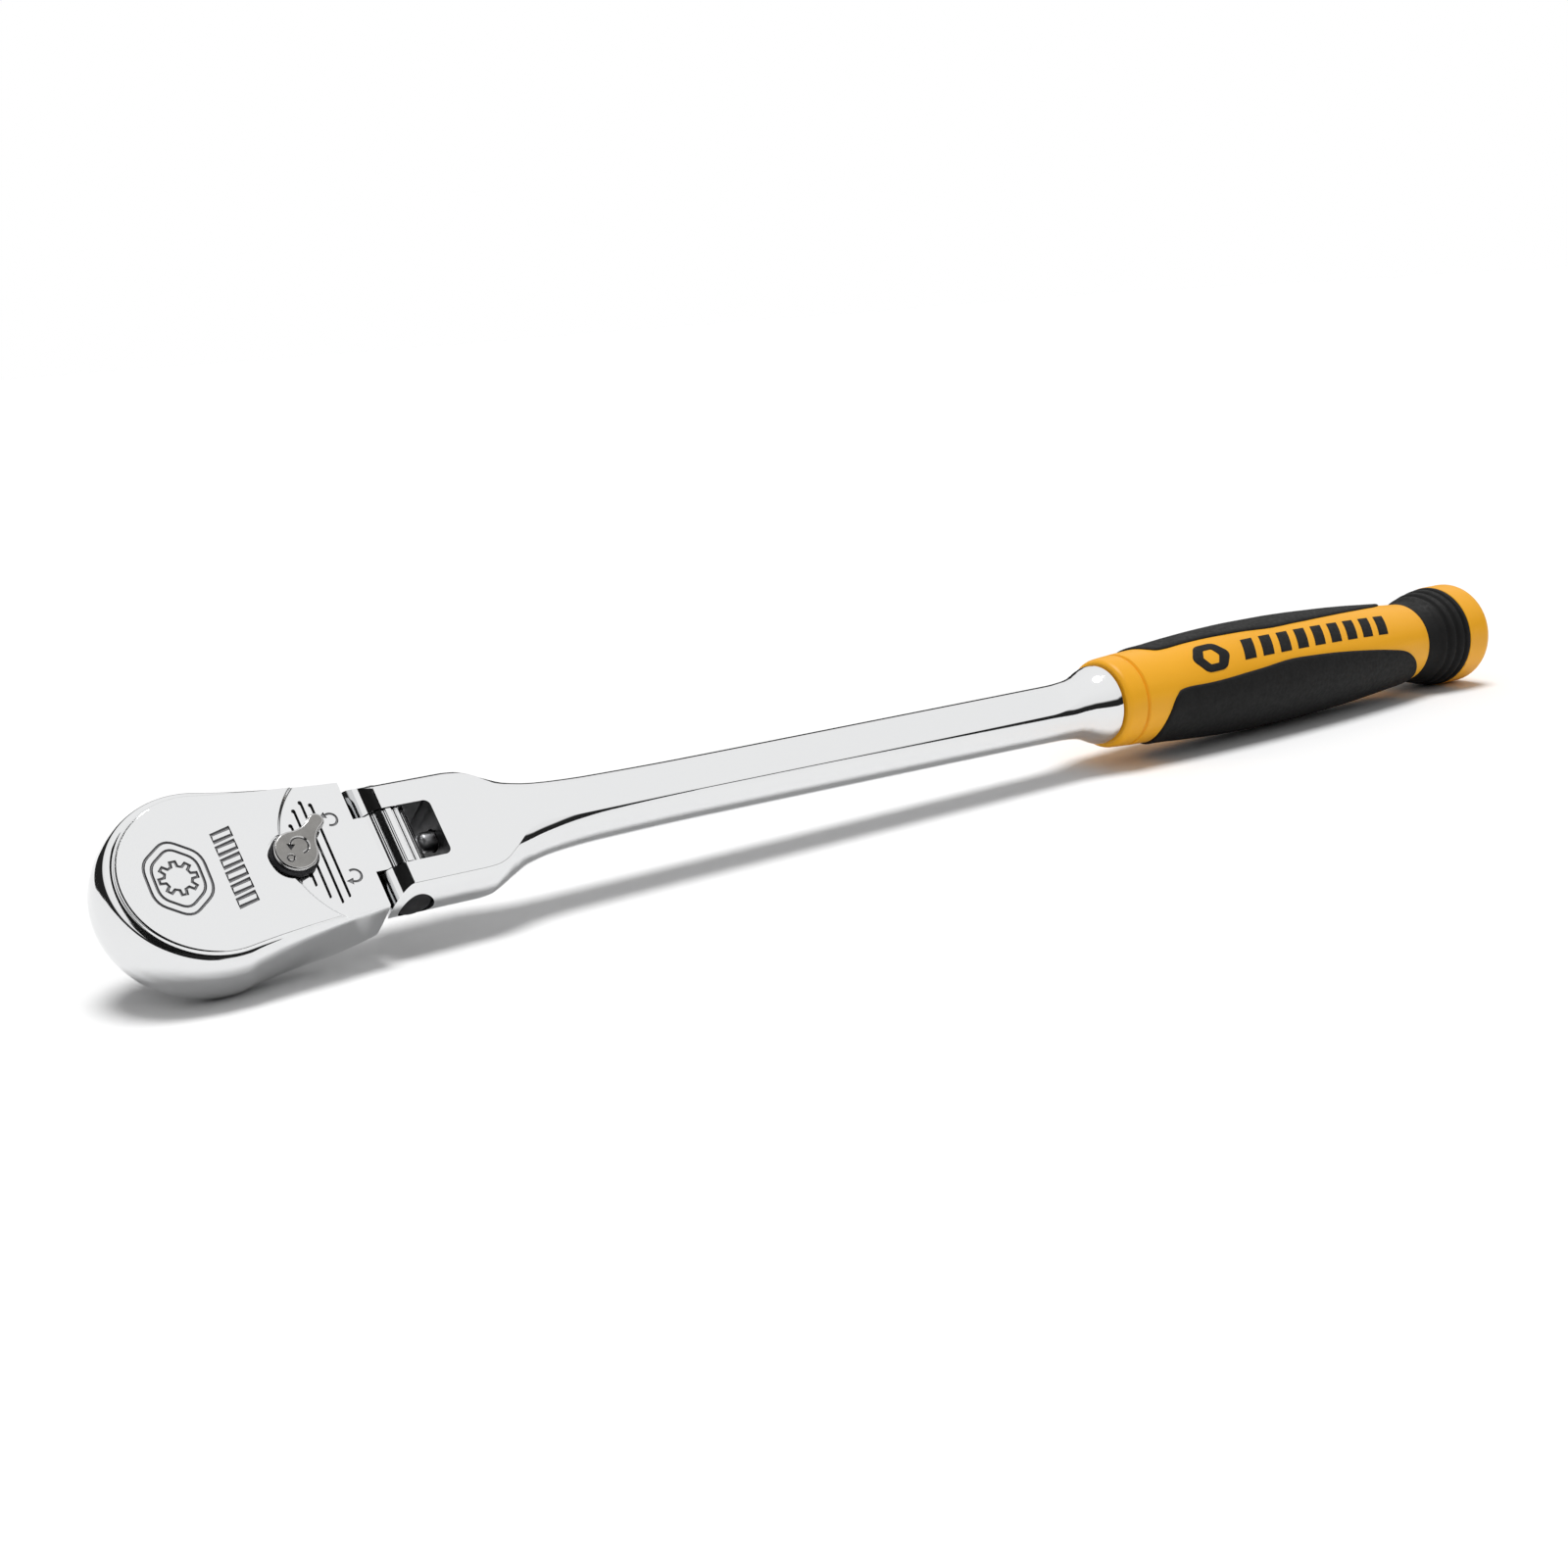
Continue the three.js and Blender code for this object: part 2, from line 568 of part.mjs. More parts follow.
function handleForging() {
  const bar = loft(BAR.map(barSection));
  const front = cut(
    block([-OVER - NOSE_ARC, 0], [-WIDE, WIDE], [-WIDE, WIDE]),
    rod('y', NOSE_ARC, -WIDE, WIDE, 0, 0, ROUND),
  );
  const [start, corner] = [-OVER - NOSE_ARC, SLOT_CORNER];
  const slot = joined(
    block([start, SLOT_REAR - corner], [-SLOT_HALF, SLOT_HALF], [-WIDE, WIDE]),
    block([start, SLOT_REAR], [-SLOT_HALF + corner, SLOT_HALF - corner], [-WIDE, WIDE]),
    ...[1, -1].map((side) => (
      rod('z', corner, -WIDE, WIDE, SLOT_REAR - corner, side * (SLOT_HALF - corner), 16))),
  );
  const core = rod('x', CORE_RADIUS, FERRULE_END - OVER, CORE_END);
  return cut(
    joined(bar, core),
    front,
    slot,
    rod('y', PIN_HOLE, -WIDE, WIDE),
    rod('x', FLEX_BORE, SLOT_REAR - OVER, FLEX_BORE_END),
  );
}

function flexPin() {
  const geometry = new THREE.CylinderGeometry(PIN_RADIUS, PIN_RADIUS, 2 * PIN_HALF, SMALL_ROUND);
  return solid(geometry);
}

function flexPlunger() {
  const tip = KNUCKLE_RADIUS + GAP;
  const [radius, end] = [FLEX_PLUNGER_RADIUS, FLEX_PLUNGER_END];
  return turned('x', [[tip, 0], [tip + 0.3, 1], [tip + 1, radius], [end, radius], [end, 0]], 16);
}

// Radius of the sleeve's surface at a distance along the handle
function sleeveRadius(x) {
  const next = SLEEVE.findIndex(([at]) => at >= x);
  const [[x0, r0], [x1, r1]] = [SLEEVE[next - 1], SLEEVE[next]];
  return r0 + (r1 - r0) * (x - x0) / (x1 - x0);
}

// A round shell that follows the sleeve's surface between two offsets from it
function gripShell(inner, outer, start, end) {
  const steps = 8;
  const along = Array.from({ length: steps + 1 }, (_, i) => start + (end - start) * i / steps);
  const top = along.map((x) => [x, sleeveRadius(x) + outer]);
  const under = along.map((x) => [x, sleeveRadius(x) + inner]).reverse();
  return turned('x', [...top, ...under, top[0]]);
}

// Side view of a pad, all round grown by margin
function padOutline(margin) {
  const upper = PAD_EDGE.map(([x, z]) => new THREE.Vector2(x, z + margin));
  upper[0].set(PAD_EDGE[0][0] - margin, 0);
  const rear = new THREE.Vector2(PAD_END_X + margin, 0);
  const lower = upper.slice(1).reverse().map((p) => new THREE.Vector2(p.x, -p.y));
  return new THREE.Shape([...upper, rear, ...lower]);
}

function pad(side, margin, inner, outer) {
  const shell = gripShell(inner, outer, PAD_EDGE[0][0] - 2, PAD_END_X + 2);
  const inside = PAD_INSIDE - margin;
  const bounds = side > 0 ? [inside, WIDE] : [-WIDE, -inside];
  return shell.intersect(sideways(padOutline(margin), ...bounds));
}

function gripSleeve() {
  const outside = turned('x', [[COLLAR_FRONT, 0], ...SLEEVE, [SLEEVE_END, 0]]);
  return cut(
    outside,
    rod('x', SLEEVE_BORE, COLLAR_FRONT - OVER, SLEEVE_END + OVER),
    ...[1, -1].map((side) => pad(side, GAP, -PAD_DEPTH - GAP, 4)),
  );
}

// A flaring neck with round ribs
function neckRing() {
  const stepsPerRib = 4;
  const steps = NECK_RIBS * stepsPerRib;
  const outside = Array.from({ length: steps + 1 }, (_, i) => {
    const t = i / steps;
    const root = NECK_ROOT[0] + (NECK_ROOT[1] - NECK_ROOT[0]) * Math.sin(t * Math.PI / 2);
    const rib = RIB_HEIGHT * Math.abs(Math.sin(t * NECK_RIBS * Math.PI));
    return [NECK_START + (NECK_END - NECK_START) * t, root + rib];
  });
  return turned('x', [
    [NECK_START, NECK_BORE], ...outside, [NECK_END, NECK_BORE], [NECK_START, NECK_BORE],
  ]);
}

function endCap() {
  const plug = NECK_BORE - GAP;
  return turned('x', [
    [NECK_START, 0], [NECK_START, plug], [CAP_START, plug], [CAP_START, CAP_RADIUS - 0.3],
    [CAP_START + 0.3, CAP_RADIUS], [CAP_EDGE, CAP_RADIUS], [CAP_EDGE + 1.1, CAP_RADIUS - 0.5],
    [CAP_END, CAP_RADIUS - 1.7], [CAP_END, 8.5], [CAP_END - 0.5, 8], [CAP_END - 0.5, 0],
  ]);
}

// ---- Assembly -----------------------------------------------------------------------------

add(tool, 'head_housing', headHousing(), chrome);
add(tool, 'cover_plate', coverPlate(), gearSteel);
add(tool, 'cover_retaining_ring', retainingRing(), springSteel);
add(tool, 'gear_washer', gearWasher(), springSteel);
add(tool, 'drive_gear', driveGear(), gearSteel);

const ball = new THREE.SphereGeometry(BALL_RADIUS, 16, 10);
add(tool, 'detent_ball', solid(ball), springSteel).position.set(0, BALL_Y, BALL_Z);
const ballRoom = BALL_BORE_END - BALL_Y - BALL_RADIUS;
const ballSpring = spring(0.2, ballRoom - 0.15, 1.4, 0.22, COIL_TURNS);
const detentSpring = add(tool, 'detent_spring', ballSpring, springSteel);
detentSpring.position.set(0, BALL_Y + BALL_RADIUS, BALL_Z);
detentSpring.rotation.z = Math.PI / 2;

const upperPawl = pawl(PAWL_LEVELS.upper, 0, PAWL_ENGAGED);
const lowerPawl = pawl(PAWL_LEVELS.lower, radians(PITCH / 2), PAWL_RIDING);
add(tool, 'upper_pawl', upperPawl, gearSteel);
add(tool, 'lower_pawl', lowerPawl, gearSteel);

const lever = new THREE.Group();
lever.position.set(STEM_X, 0, 0);
lever.rotation.z = LEVER_ANGLE;
tool.add(lever);
add(lever, 'reverse_lever', reverseLever(), satinSteel);
add(lever, 'lever_seal_ring', leverSeal(), blackRubber);
for (const [level, [bottom, top]] of Object.entries(PAWL_LEVELS)) {
  const bore = new THREE.Group();
  bore.position.z = (bottom + top) / 2;
  bore.rotation.z = Math.PI;
  lever.add(bore);
  add(bore, `${level}_pawl_plunger`, pawlPlunger(), springSteel);
  const coil = spring(PLUNGER_BORE_END + 0.2, PLUNGER_BASE - 0.2, 0.85, 0.16, COIL_TURNS);
  add(bore, `${level}_plunger_spring`, coil, springSteel);
}

handle.position.set(FLEX_X, 0, AXIS_Z);
add(handle, 'handle_forging', handleForging(), chrome);
add(handle, 'flex_pin', flexPin(), blackSteel);
add(handle, 'flex_plunger', flexPlunger(), gearSteel);
const flexSpring = spring(FLEX_PLUNGER_END + GAP, FLEX_BORE_END - GAP, FLEX_PLUNGER_RADIUS, 0.3, 6);
add(handle, 'flex_spring', flexSpring, springSteel);
add(handle, 'grip_sleeve', gripSleeve(), orangePlastic);
add(handle, 'grip_pad_left', pad(1, 0, -PAD_DEPTH, PAD_RISE), blackRubber);
add(handle, 'grip_pad_right', pad(-1, 0, -PAD_DEPTH, PAD_RISE), blackRubber);
add(handle, 'grip_neck_ring', neckRing(), blackRubber);
add(handle, 'end_cap', endCap(), orangePlastic);

export default tool;
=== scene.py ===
"""Looks of a flex-head ratchet wrench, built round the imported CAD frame.

Lengths are in millimetres in the CAD frame until a mesh is made, which is in metres.
"""
import json
import math

import bmesh
import bpy
from mathutils import Matrix, Vector


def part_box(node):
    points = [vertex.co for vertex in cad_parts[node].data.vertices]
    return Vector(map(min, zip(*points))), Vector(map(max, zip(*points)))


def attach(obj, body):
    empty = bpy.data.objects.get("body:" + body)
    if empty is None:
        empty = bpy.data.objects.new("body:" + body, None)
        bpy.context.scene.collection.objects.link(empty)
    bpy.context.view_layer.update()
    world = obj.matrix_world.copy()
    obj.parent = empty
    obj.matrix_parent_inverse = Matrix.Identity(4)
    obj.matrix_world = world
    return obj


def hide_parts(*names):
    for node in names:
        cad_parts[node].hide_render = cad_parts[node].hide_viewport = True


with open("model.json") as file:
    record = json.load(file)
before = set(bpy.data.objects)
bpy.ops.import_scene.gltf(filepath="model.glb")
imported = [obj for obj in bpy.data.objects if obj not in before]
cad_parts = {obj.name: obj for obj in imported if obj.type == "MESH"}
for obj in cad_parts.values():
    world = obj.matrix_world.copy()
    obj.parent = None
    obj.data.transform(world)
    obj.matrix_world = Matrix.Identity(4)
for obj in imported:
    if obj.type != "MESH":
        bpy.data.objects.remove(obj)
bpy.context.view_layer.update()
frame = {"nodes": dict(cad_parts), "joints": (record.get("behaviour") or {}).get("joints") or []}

MM = 0.001
JOINTS = {joint["name"]: joint for joint in frame["joints"]}


def box_mm(node):
    low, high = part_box(node)
    return low / MM, high / MM


# ---- Driving dimensions, from the frame -----------------------------------------------------

PIN = Vector(JOINTS["flex_hinge"]["pos_m"]) / MM
STEM = Vector(JOINTS["lever_flip"]["pos_m"]) / MM
AXIS_Z = PIN.z
HEAD_LOW, HEAD_HIGH = box_mm("head_housing")
HEAD_TOP = HEAD_HIGH.z
HEAD_BOTTOM = HEAD_LOW.z
COVER_LOW, COVER_HIGH = box_mm("cover_plate")
RING_LOW, RING_HIGH = box_mm("cover_retaining_ring")
PLUNGER_LOW, PLUNGER_HIGH = box_mm("flex_plunger")
SLEEVE_LOW, SLEEVE_HIGH = box_mm("grip_sleeve")
NECK_LOW, NECK_HIGH = box_mm("grip_neck_ring")
CAP_HIGH = box_mm("end_cap")[1]
BALL_LOW, BALL_HIGH = box_mm("detent_ball")

DECK_Z = HEAD_TOP - 0.7
NOSE_RADIUS = 14.6
NOSE_END = math.radians(81.4)
REAR_X = 27.1
REAR_HALF = 12.2
REAR_SWELL = 0.2
WAIST_X = 12
WAIST_HALF = 12.94
LEVER_ANGLE = math.radians(42.5)
SQUARE_HALF = 9.525 / 2
UPRIGHT = Matrix.Rotation(math.radians(90), 4, "X")


# ---- Mesh tools -----------------------------------------------------------------------------

def make_object(name, vertices, faces):
    mesh = bpy.data.meshes.new(name)
    mesh.from_pydata([Vector(v) * MM for v in vertices], [], faces)
    obj = bpy.data.objects.new(name, mesh)
    bpy.context.scene.collection.objects.link(obj)
    edit(obj, lambda bm: bmesh.ops.recalc_face_normals(bm, faces=bm.faces))
    return obj


def edit(obj, change):
    bm = bmesh.new()
    bm.from_mesh(obj.data)
    change(bm)
    bm.to_mesh(obj.data)
    bm.free()
    obj.data.update()


def skin(name, rings, closed=False):
    """A closed skin over rings of points: capped at both ends, or joined end to end."""
    count = len(rings[0])
    vertices = [p for ring in rings for p in ring]
    faces = []
    spans = len(rings) if closed else len(rings) - 1
    for r in range(spans):
        a = r * count
        b = (r + 1) % len(rings) * count
        for i in range(count):
            j = (i + 1) % count
            faces.append((a + i, a + j, b + j, b + i))
    if not closed:
        faces.append(tuple(range(count - 1, -1, -1)))
        faces.append(tuple(range(len(vertices) - count, len(vertices))))
    return make_object(name, vertices, faces)


def around(axis, along, radius, turn, centre):
    """A point of a turned shape about the X, Y or Z axis through centre."""
    c, s = radius * math.cos(turn), radius * math.sin(turn)
    spot = {"x": (along, c, s), "y": (s, along, c), "z": (c, s, along)}[axis]
    return Vector(centre) + Vector(spot)


def lathe(name, axis, profile, centre=(0, 0, 0), segments=128, closed=False):
    """A turned solid from (along, radius) points. An open profile is capped at its ends."""
    turns = [2 * math.pi * i / segments for i in range(segments)]
    rings = [
        [around(axis, along, max(radius, 0.01), turn, centre) for turn in turns]
        for along, radius in profile
    ]
    return skin(name, rings, closed)


def rod(axis, radius, start, end, centre=(0, 0, 0), segments=96):
    return lathe("cutter", axis, [(start, radius), (end, radius)], centre, segments)


def prism(name, outline, bottom, top, place=None):
    """An outline in the XY plane given thickness; place turns and moves it."""
    rings = [[Vector((x, y, z)) for x, y in outline] for z in (bottom, top)]
    if place is not None:
        rings = [[place @ p for p in ring] for ring in rings]
    return skin(name, rings)


def block(x, y, z):
    outline = [(x[0], y[0]), (x[1], y[0]), (x[1], y[1]), (x[0], y[1])]
    return prism("cutter", outline, z[0], z[1])


def combine(target, tool, operation):
    modifier = target.modifiers.new("join", "BOOLEAN")
    modifier.operation = operation
    modifier.solver = "EXACT"
    modifier.object = tool
    depsgraph = bpy.context.evaluated_depsgraph_get()
    result = bpy.data.meshes.new_from_object(target.evaluated_get(depsgraph))
    target.modifiers.remove(modifier)
    target.data = result
    bpy.data.objects.remove(tool)


def cut(target, *tools):
    for tool in tools:
        combine(target, tool, "DIFFERENCE")


def join(target, *tools):
    for tool in tools:
        combine(target, tool, "UNION")


def merged(name, objects):
    """Separate solids as one object."""
    bm = bmesh.new()
    for obj in objects:
        bm.from_mesh(obj.data)
        bpy.data.objects.remove(obj)
    mesh = bpy.data.meshes.new(name)
    bm.to_mesh(mesh)
    bm.free()
    whole = bpy.data.objects.new(name, mesh)
    bpy.context.scene.collection.objects.link(whole)
    return whole


def weld(obj):
    edit(obj, lambda bm: bmesh.ops.remove_doubles(bm, verts=bm.verts, dist=2e-6))


def break_edges(obj, width, angle=32, segments=2):
    weld(obj)
    bevel = obj.modifiers.new("edges", "BEVEL")
    bevel.width = width * MM
    bevel.segments = segments
    bevel.limit_method = "ANGLE"
    bevel.angle_limit = math.radians(angle)
    depsgraph = bpy.context.evaluated_depsgraph_get()
    result = bpy.data.meshes.new_from_object(obj.evaluated_get(depsgraph))
    obj.modifiers.remove(bevel)
    obj.data = result


def polish(obj, edge=0.0, angle=32):
    """Broken edges where edge is given, then smooth shading that leaves flats flat."""
    limit = math.radians(angle)
    if edge:
        break_edges(obj, edge, angle)
    weld(obj)
    obj.data.shade_smooth()
    obj.data.set_sharp_from_angle(angle=limit)
    weighted = obj.modifiers.new("flats", "WEIGHTED_NORMAL")
    weighted.keep_sharp = True
    weighted.weight = 80
    return obj


def finish_piece(obj, name, body, material, replaced=()):
    obj.name = name
    obj.data.name = name
    obj.data.materials.clear()
    obj.data.materials.append(material)
    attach(obj, body)
    if replaced:
        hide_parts(*replaced)
    return obj


def smooth_line(points, steps):
    """A smooth line through the points, without overshoot in the second coordinate."""
    slopes = []
    for i in range(len(points)):
        if i in (0, len(points) - 1):
            a, b = (points[0], points[1]) if i == 0 else (points[-2], points[-1])
            slopes.append((b[1] - a[1]) / (b[0] - a[0]))
            continue
        before = (points[i][1] - points[i - 1][1]) / (points[i][0] - points[i - 1][0])
        after = (points[i + 1][1] - points[i][1]) / (points[i + 1][0] - points[i][0])
        slopes.append(0 if before * after <= 0 else 2 * before * after / (before + after))
    line = []
    for i in range(len(points) - 1):
        (x0, y0), (x1, y1) = points[i], points[i + 1]
        width = x1 - x0
        for k in range(steps):
            t = k / steps
            line.append((
                x0 + width * t,
                y0 * (1 + 2 * t) * (1 - t) ** 2 + slopes[i] * width * t * (1 - t) ** 2
                + y1 * t * t * (3 - 2 * t) - slopes[i + 1] * width * t * t * (1 - t),
            ))
    return line + [tuple(points[-1])]


def value_at(line, x):
    for (x0, y0), (x1, y1) in zip(line, line[1:]):
        if x0 <= x <= x1:
            return y0 + (y1 - y0) * (x - x0) / (x1 - x0)
    return line[0][1] if x < line[0][0] else line[-1][1]


def arc(centre, radius, start, end, steps):
    """Points of an arc from start to end, in degrees."""
    angles = [math.radians(start + (end - start) * i / steps) for i in range(steps + 1)]
    return [(centre[0] + radius * math.cos(a), centre[1] + radius * math.sin(a)) for a in angles]


def sector(inner, outer, half_angle, steps=40, middle=0):
    return (arc((0, 0), outer, middle - half_angle, middle + half_angle, steps)
            + arc((0, 0), inner, middle + half_angle, middle - half_angle, steps))


# ---- Materials ------------------------------------------------------------------------------

def material(name, colour, roughness, metallic=0.0, **more):
    made = bpy.data.materials.new(name)
    made.use_nodes = True
    shader = made.node_tree.nodes["Principled BSDF"]
    shader.inputs["Base Color"].default_value = (*colour, 1)
    shader.inputs["Roughness"].default_value = roughness
    shader.inputs["Metallic"].default_value = metallic
    for socket, value in more.items():
        shader.inputs[socket.replace("_", " ")].default_value = value
    return made


def noise(made, scale, detail=3.0, stretch=(1, 1, 1)):
    """A noise texture on the object's own coordinates, with scale in waves per metre."""
    nodes, links = made.node_tree.nodes, made.node_tree.links
    spot = nodes.new("ShaderNodeTexCoord")
    place = nodes.new("ShaderNodeMapping")
    place.inputs["Scale"].default_value = stretch
    texture = nodes.new("ShaderNodeTexNoise")
    texture.inputs["Scale"].default_value = scale
    texture.inputs["Detail"].default_value = detail
    links.new(spot.outputs["Object"], place.inputs["Vector"])
    links.new(place.outputs["Vector"], texture.inputs["Vector"])
    return texture.outputs["Fac"]


def vary_roughness(made, source, low, high):
    nodes, links = made.node_tree.nodes, made.node_tree.links
    spread = nodes.new("ShaderNodeMapRange")
    spread.inputs["From Min"].default_value = 0.3
    spread.inputs["From Max"].default_value = 0.7
    spread.inputs["To Min"].default_value = low
    spread.inputs["To Max"].default_value = high
    links.new(source, spread.inputs["Value"])
    links.new(spread.outputs["Result"], nodes["Principled BSDF"].inputs["Roughness"])


def vary_colour(made, source, dark, light):
    nodes, links = made.node_tree.nodes, made.node_tree.links
    ramp = nodes.new("ShaderNodeValToRGB")
    ramp.color_ramp.elements[0].position = 0.3
    ramp.color_ramp.elements[1].position = 0.7
    ramp.color_ramp.elements[0].color = (*dark, 1)
    ramp.color_ramp.elements[1].color = (*light, 1)
    links.new(source, ramp.inputs["Fac"])
    links.new(ramp.outputs["Color"], nodes["Principled BSDF"].inputs["Base Color"])


def rough_up(made, source, depth):
    """A bump whose height is depth millimetres."""
    nodes, links = made.node_tree.nodes, made.node_tree.links
    bump = nodes.new("ShaderNodeBump")
    bump.inputs["Strength"].default_value = 1.0
    bump.inputs["Distance"].default_value = depth * MM
    links.new(source, bump.inputs["Height"])
    links.new(bump.outputs["Normal"], nodes["Principled BSDF"].inputs["Normal"])


def make_chrome():
    made = material("chrome", (0.765, 0.77, 0.775), 0.05, 1.0)
    vary_roughness(made, noise(made, 60, 4), 0.03, 0.085)
    rough_up(made, noise(made, 90, 2), 0.0016)
    return made


def make_orange():
    made = material("orange_plastic", (0.87, 0.405, 0.012), 0.42, Specular_IOR_Level=0.3)
    vary_colour(made, noise(made, 40, 2), (0.85, 0.39, 0.010), (0.89, 0.42, 0.014))
    rough_up(made, noise(made, 2600, 2), 0.010)
    return made


def make_rubber():
    made = material("black_rubber", (0.010, 0.010, 0.011), 0.6, Specular_IOR_Level=0.16)
    vary_colour(made, noise(made, 300, 3), (0.006, 0.006, 0.006), (0.010, 0.010, 0.010))
    vary_roughness(made, noise(made, 1200, 3), 0.52, 0.72)
    rough_up(made, noise(made, 2200, 3), 0.022)
    return made


def make_satin(name, colour, roughness, grain=1800, depth=0.006):
    made = material(name, colour, roughness, 1.0)
    vary_roughness(made, noise(made, 500, 3), roughness * 0.8, roughness * 1.25)
    rough_up(made, noise(made, grain, 3), depth)
    return made


def make_turned(name, colour, roughness):
    """Fine rings from turning or grinding show as streaks in the roughness."""
    made = material(name, colour, roughness, 1.0)
    streaks = noise(made, 900, 2, (1, 1, 0.05))
    vary_roughness(made, streaks, roughness * 0.7, roughness * 1.3)
    rough_up(made, streaks, 0.003)
    return made


CHROME = make_chrome()
ORANGE = make_orange()
RUBBER = make_rubber()
LEVER_TOP_FACE = make_satin("lever_satin", (0.215, 0.210, 0.202), 0.34)
LEVER_EDGE = make_satin("lever_polish", (0.50, 0.495, 0.49), 0.12, 600, 0.001)
DRIVE_STEEL = make_satin("drive_steel", (0.30, 0.30, 0.31), 0.32)
COVER_STEEL = make_turned("cover_steel", (0.42, 0.42, 0.43), 0.3)
SPRING_STEEL = make_turned("spring_steel", (0.5, 0.5, 0.5), 0.22)
# Dark satin for the faces of engraved grooves: painted shade, standing in for the dark that the
# grooves' steep walls reflect.
ENGRAVED_GROOVE_SHADE = make_satin("engraved_groove_painted_shade", (0.20, 0.20, 0.205), 0.30)
# Near-black satin: the flex pin's own black finish, and painted shade on the lever's sides and boss
# and in the yoke's slot and plunger bore.
BLACK_OXIDE_AND_SHADE = make_satin("black_oxide", (0.030, 0.030, 0.032), 0.42)


# ---- Head -----------------------------------------------------------------------------------

# Bulge of the side wall beyond the top's edge, at heights about the middle plane. A narrow
# sloping ledge runs round just below the rounded rim of the top.
WALL_LINE = [
    (-9.4, -0.9), (-9.2, 0.0), (-8.6, 0.85), (-7.4, 1.7), (-5.8, 2.3), (-4, 2.58), (-2, 2.6),
    (0, 2.4), (1.6, 2.06), (2.7, 1.74), (3.25, 1.52), (3.6, 1.32), (3.85, 1.09), (4.02, 0.86),
    (4.24, 0.53), (4.42, 0.22), (4.5, 0.155),
]
RIM_ROUND = 0.5
RIM_EDGE = -0.35

# The tongue ends in a round knuckle with fine grooves at these turns about the pin, in degrees.
KNUCKLE_RADIUS = 4.8
TONGUE_HALF_WIDTH = 5.3
TONGUE_HALF_HEIGHT = 3.3
NOTCH_RADIUS = 0.42
NOTCH_TURNS = (-75, -52, 0, 52, 75, 97, 120)

# The lower deck round the lever is a shallow round bowl, cut in from the rear.
DECK_RADIUS = 17.3
DECK_CENTRE = (30.45, 0, 0)

# Grooves across the deck: place along the head, and reach to either side
DECK_GROOVES = ((16.25, 6.15), (17.75, 8.8), (19.4, 10.15), (20.95, 9.35))


def head_wall():
    line = smooth_line(WALL_LINE, 4)
    rim = arc((RIM_EDGE, HEAD_TOP - AXIS_Z - RIM_ROUND), RIM_ROUND, 14, 90, 10)
    return [(z, bulge) for z, bulge in line] + [(z, bulge) for bulge, z in rim]


def head_outline(bulge):
    radius = NOSE_RADIUS + bulge
    corner = Vector((radius * math.cos(NOSE_END), radius * math.sin(NOSE_END)))
    rear = Vector((REAR_X, REAR_HALF + bulge * REAR_SWELL))
    waist = Vector((WAIST_X, WAIST_HALF + bulge * (1 + REAR_SWELL) / 2))
    side = []
    for i in range(25):
        t = i / 24
        side.append(rear * (1 - t) ** 2 + waist * 2 * t * (1 - t) + corner * t * t)
    end = math.degrees(NOSE_END)
    nose = [Vector(p) for p in arc((0, 0), radius, end, 360 - end, 120)][1:-1]
    mirrored = [Vector((p.x, -p.y)) for p in reversed(side)]
    return side + nose + mirrored


def underside_cutter():
    start = COVER_HIGH.x + 2.2
    rise = [Vector((start, HEAD_BOTTOM)), Vector((18, 12)), Vector((REAR_X + 1, AXIS_Z - 4.6))]
    curve = []
    for i in range(21):
        t = i / 20
        p = rise[0] * (1 - t) ** 2 + rise[1] * 2 * t * (1 - t) + rise[2] * t * t
        curve.append((p.x, p.y))
    outline = [(start, HEAD_BOTTOM - 2)] + curve + [(REAR_X + 1, HEAD_BOTTOM - 2)]
    return prism("cutter", outline, -20, 20, UPRIGHT)


# Engraved marks, with a line's width at its floor as a share of its width at the surface.
# Those on the top lie round the badge, and a turn arrow stands on either side of the deck.
MARK_DEPTH = 0.3
ARROW_DEPTH = 0.22
MARK_HALF = 0.24
FLOOR_SHARE = 0.35
BADGE = (-5.0, 0.0)
MARKS_REAR = 7.2
MARKS_RADIUS = 12
ARROW_X = PIN.x - 9.9
ARROW_Y = 5.6


def capsule(x, reach, half, depth):
    """A round-ended groove cutter along Y in the deck."""
    outline = (arc((x, reach - half), half, 0, 180, 10)
               + arc((x, -reach + half), half, 180, 360, 10))
    return prism("cutter", outline, DECK_Z - depth, DECK_Z + 2)


def ribbon(points, half, bottom, surface, closed=False):
    """A cutter for an engraved line along the points, with sloping walls."""
    line = [Vector(p) for p in points]
    count = len(line)
    sideways = []
    for i, p in enumerate(line):
        before = line[i - 1] if closed or i else p
        after = line[(i + 1) % count] if closed or i < count - 1 else p
        run = (after - before).normalized()
        turn = 1.0
        if (p - before).length > 1e-6 and (after - p).length > 1e-6:
            bend = (p - before).normalized().dot((after - p).normalized())
            turn = 1 / math.sqrt(max(0.25, (1 + bend) / 2))
        sideways.append(Vector((-run.y, run.x)) * half * turn)

    def edge_line(share, z):
        return [(p + offset * share).to_3d() + Vector((0, 0, z))
                for p, offset in zip(line, sideways)]
    levels = ((FLOOR_SHARE, bottom), (1, surface), (1, surface + 1))
    if closed:
        rings = [edge_line(share, z) for share, z in levels]
        rings += [edge_line(-share, z) for share, z in reversed(levels)]
        return skin("cutter", rings, closed=True)
    return skin("cutter", [edge_line(share, z) + edge_line(-share, z)[::-1]
                           for share, z in levels])


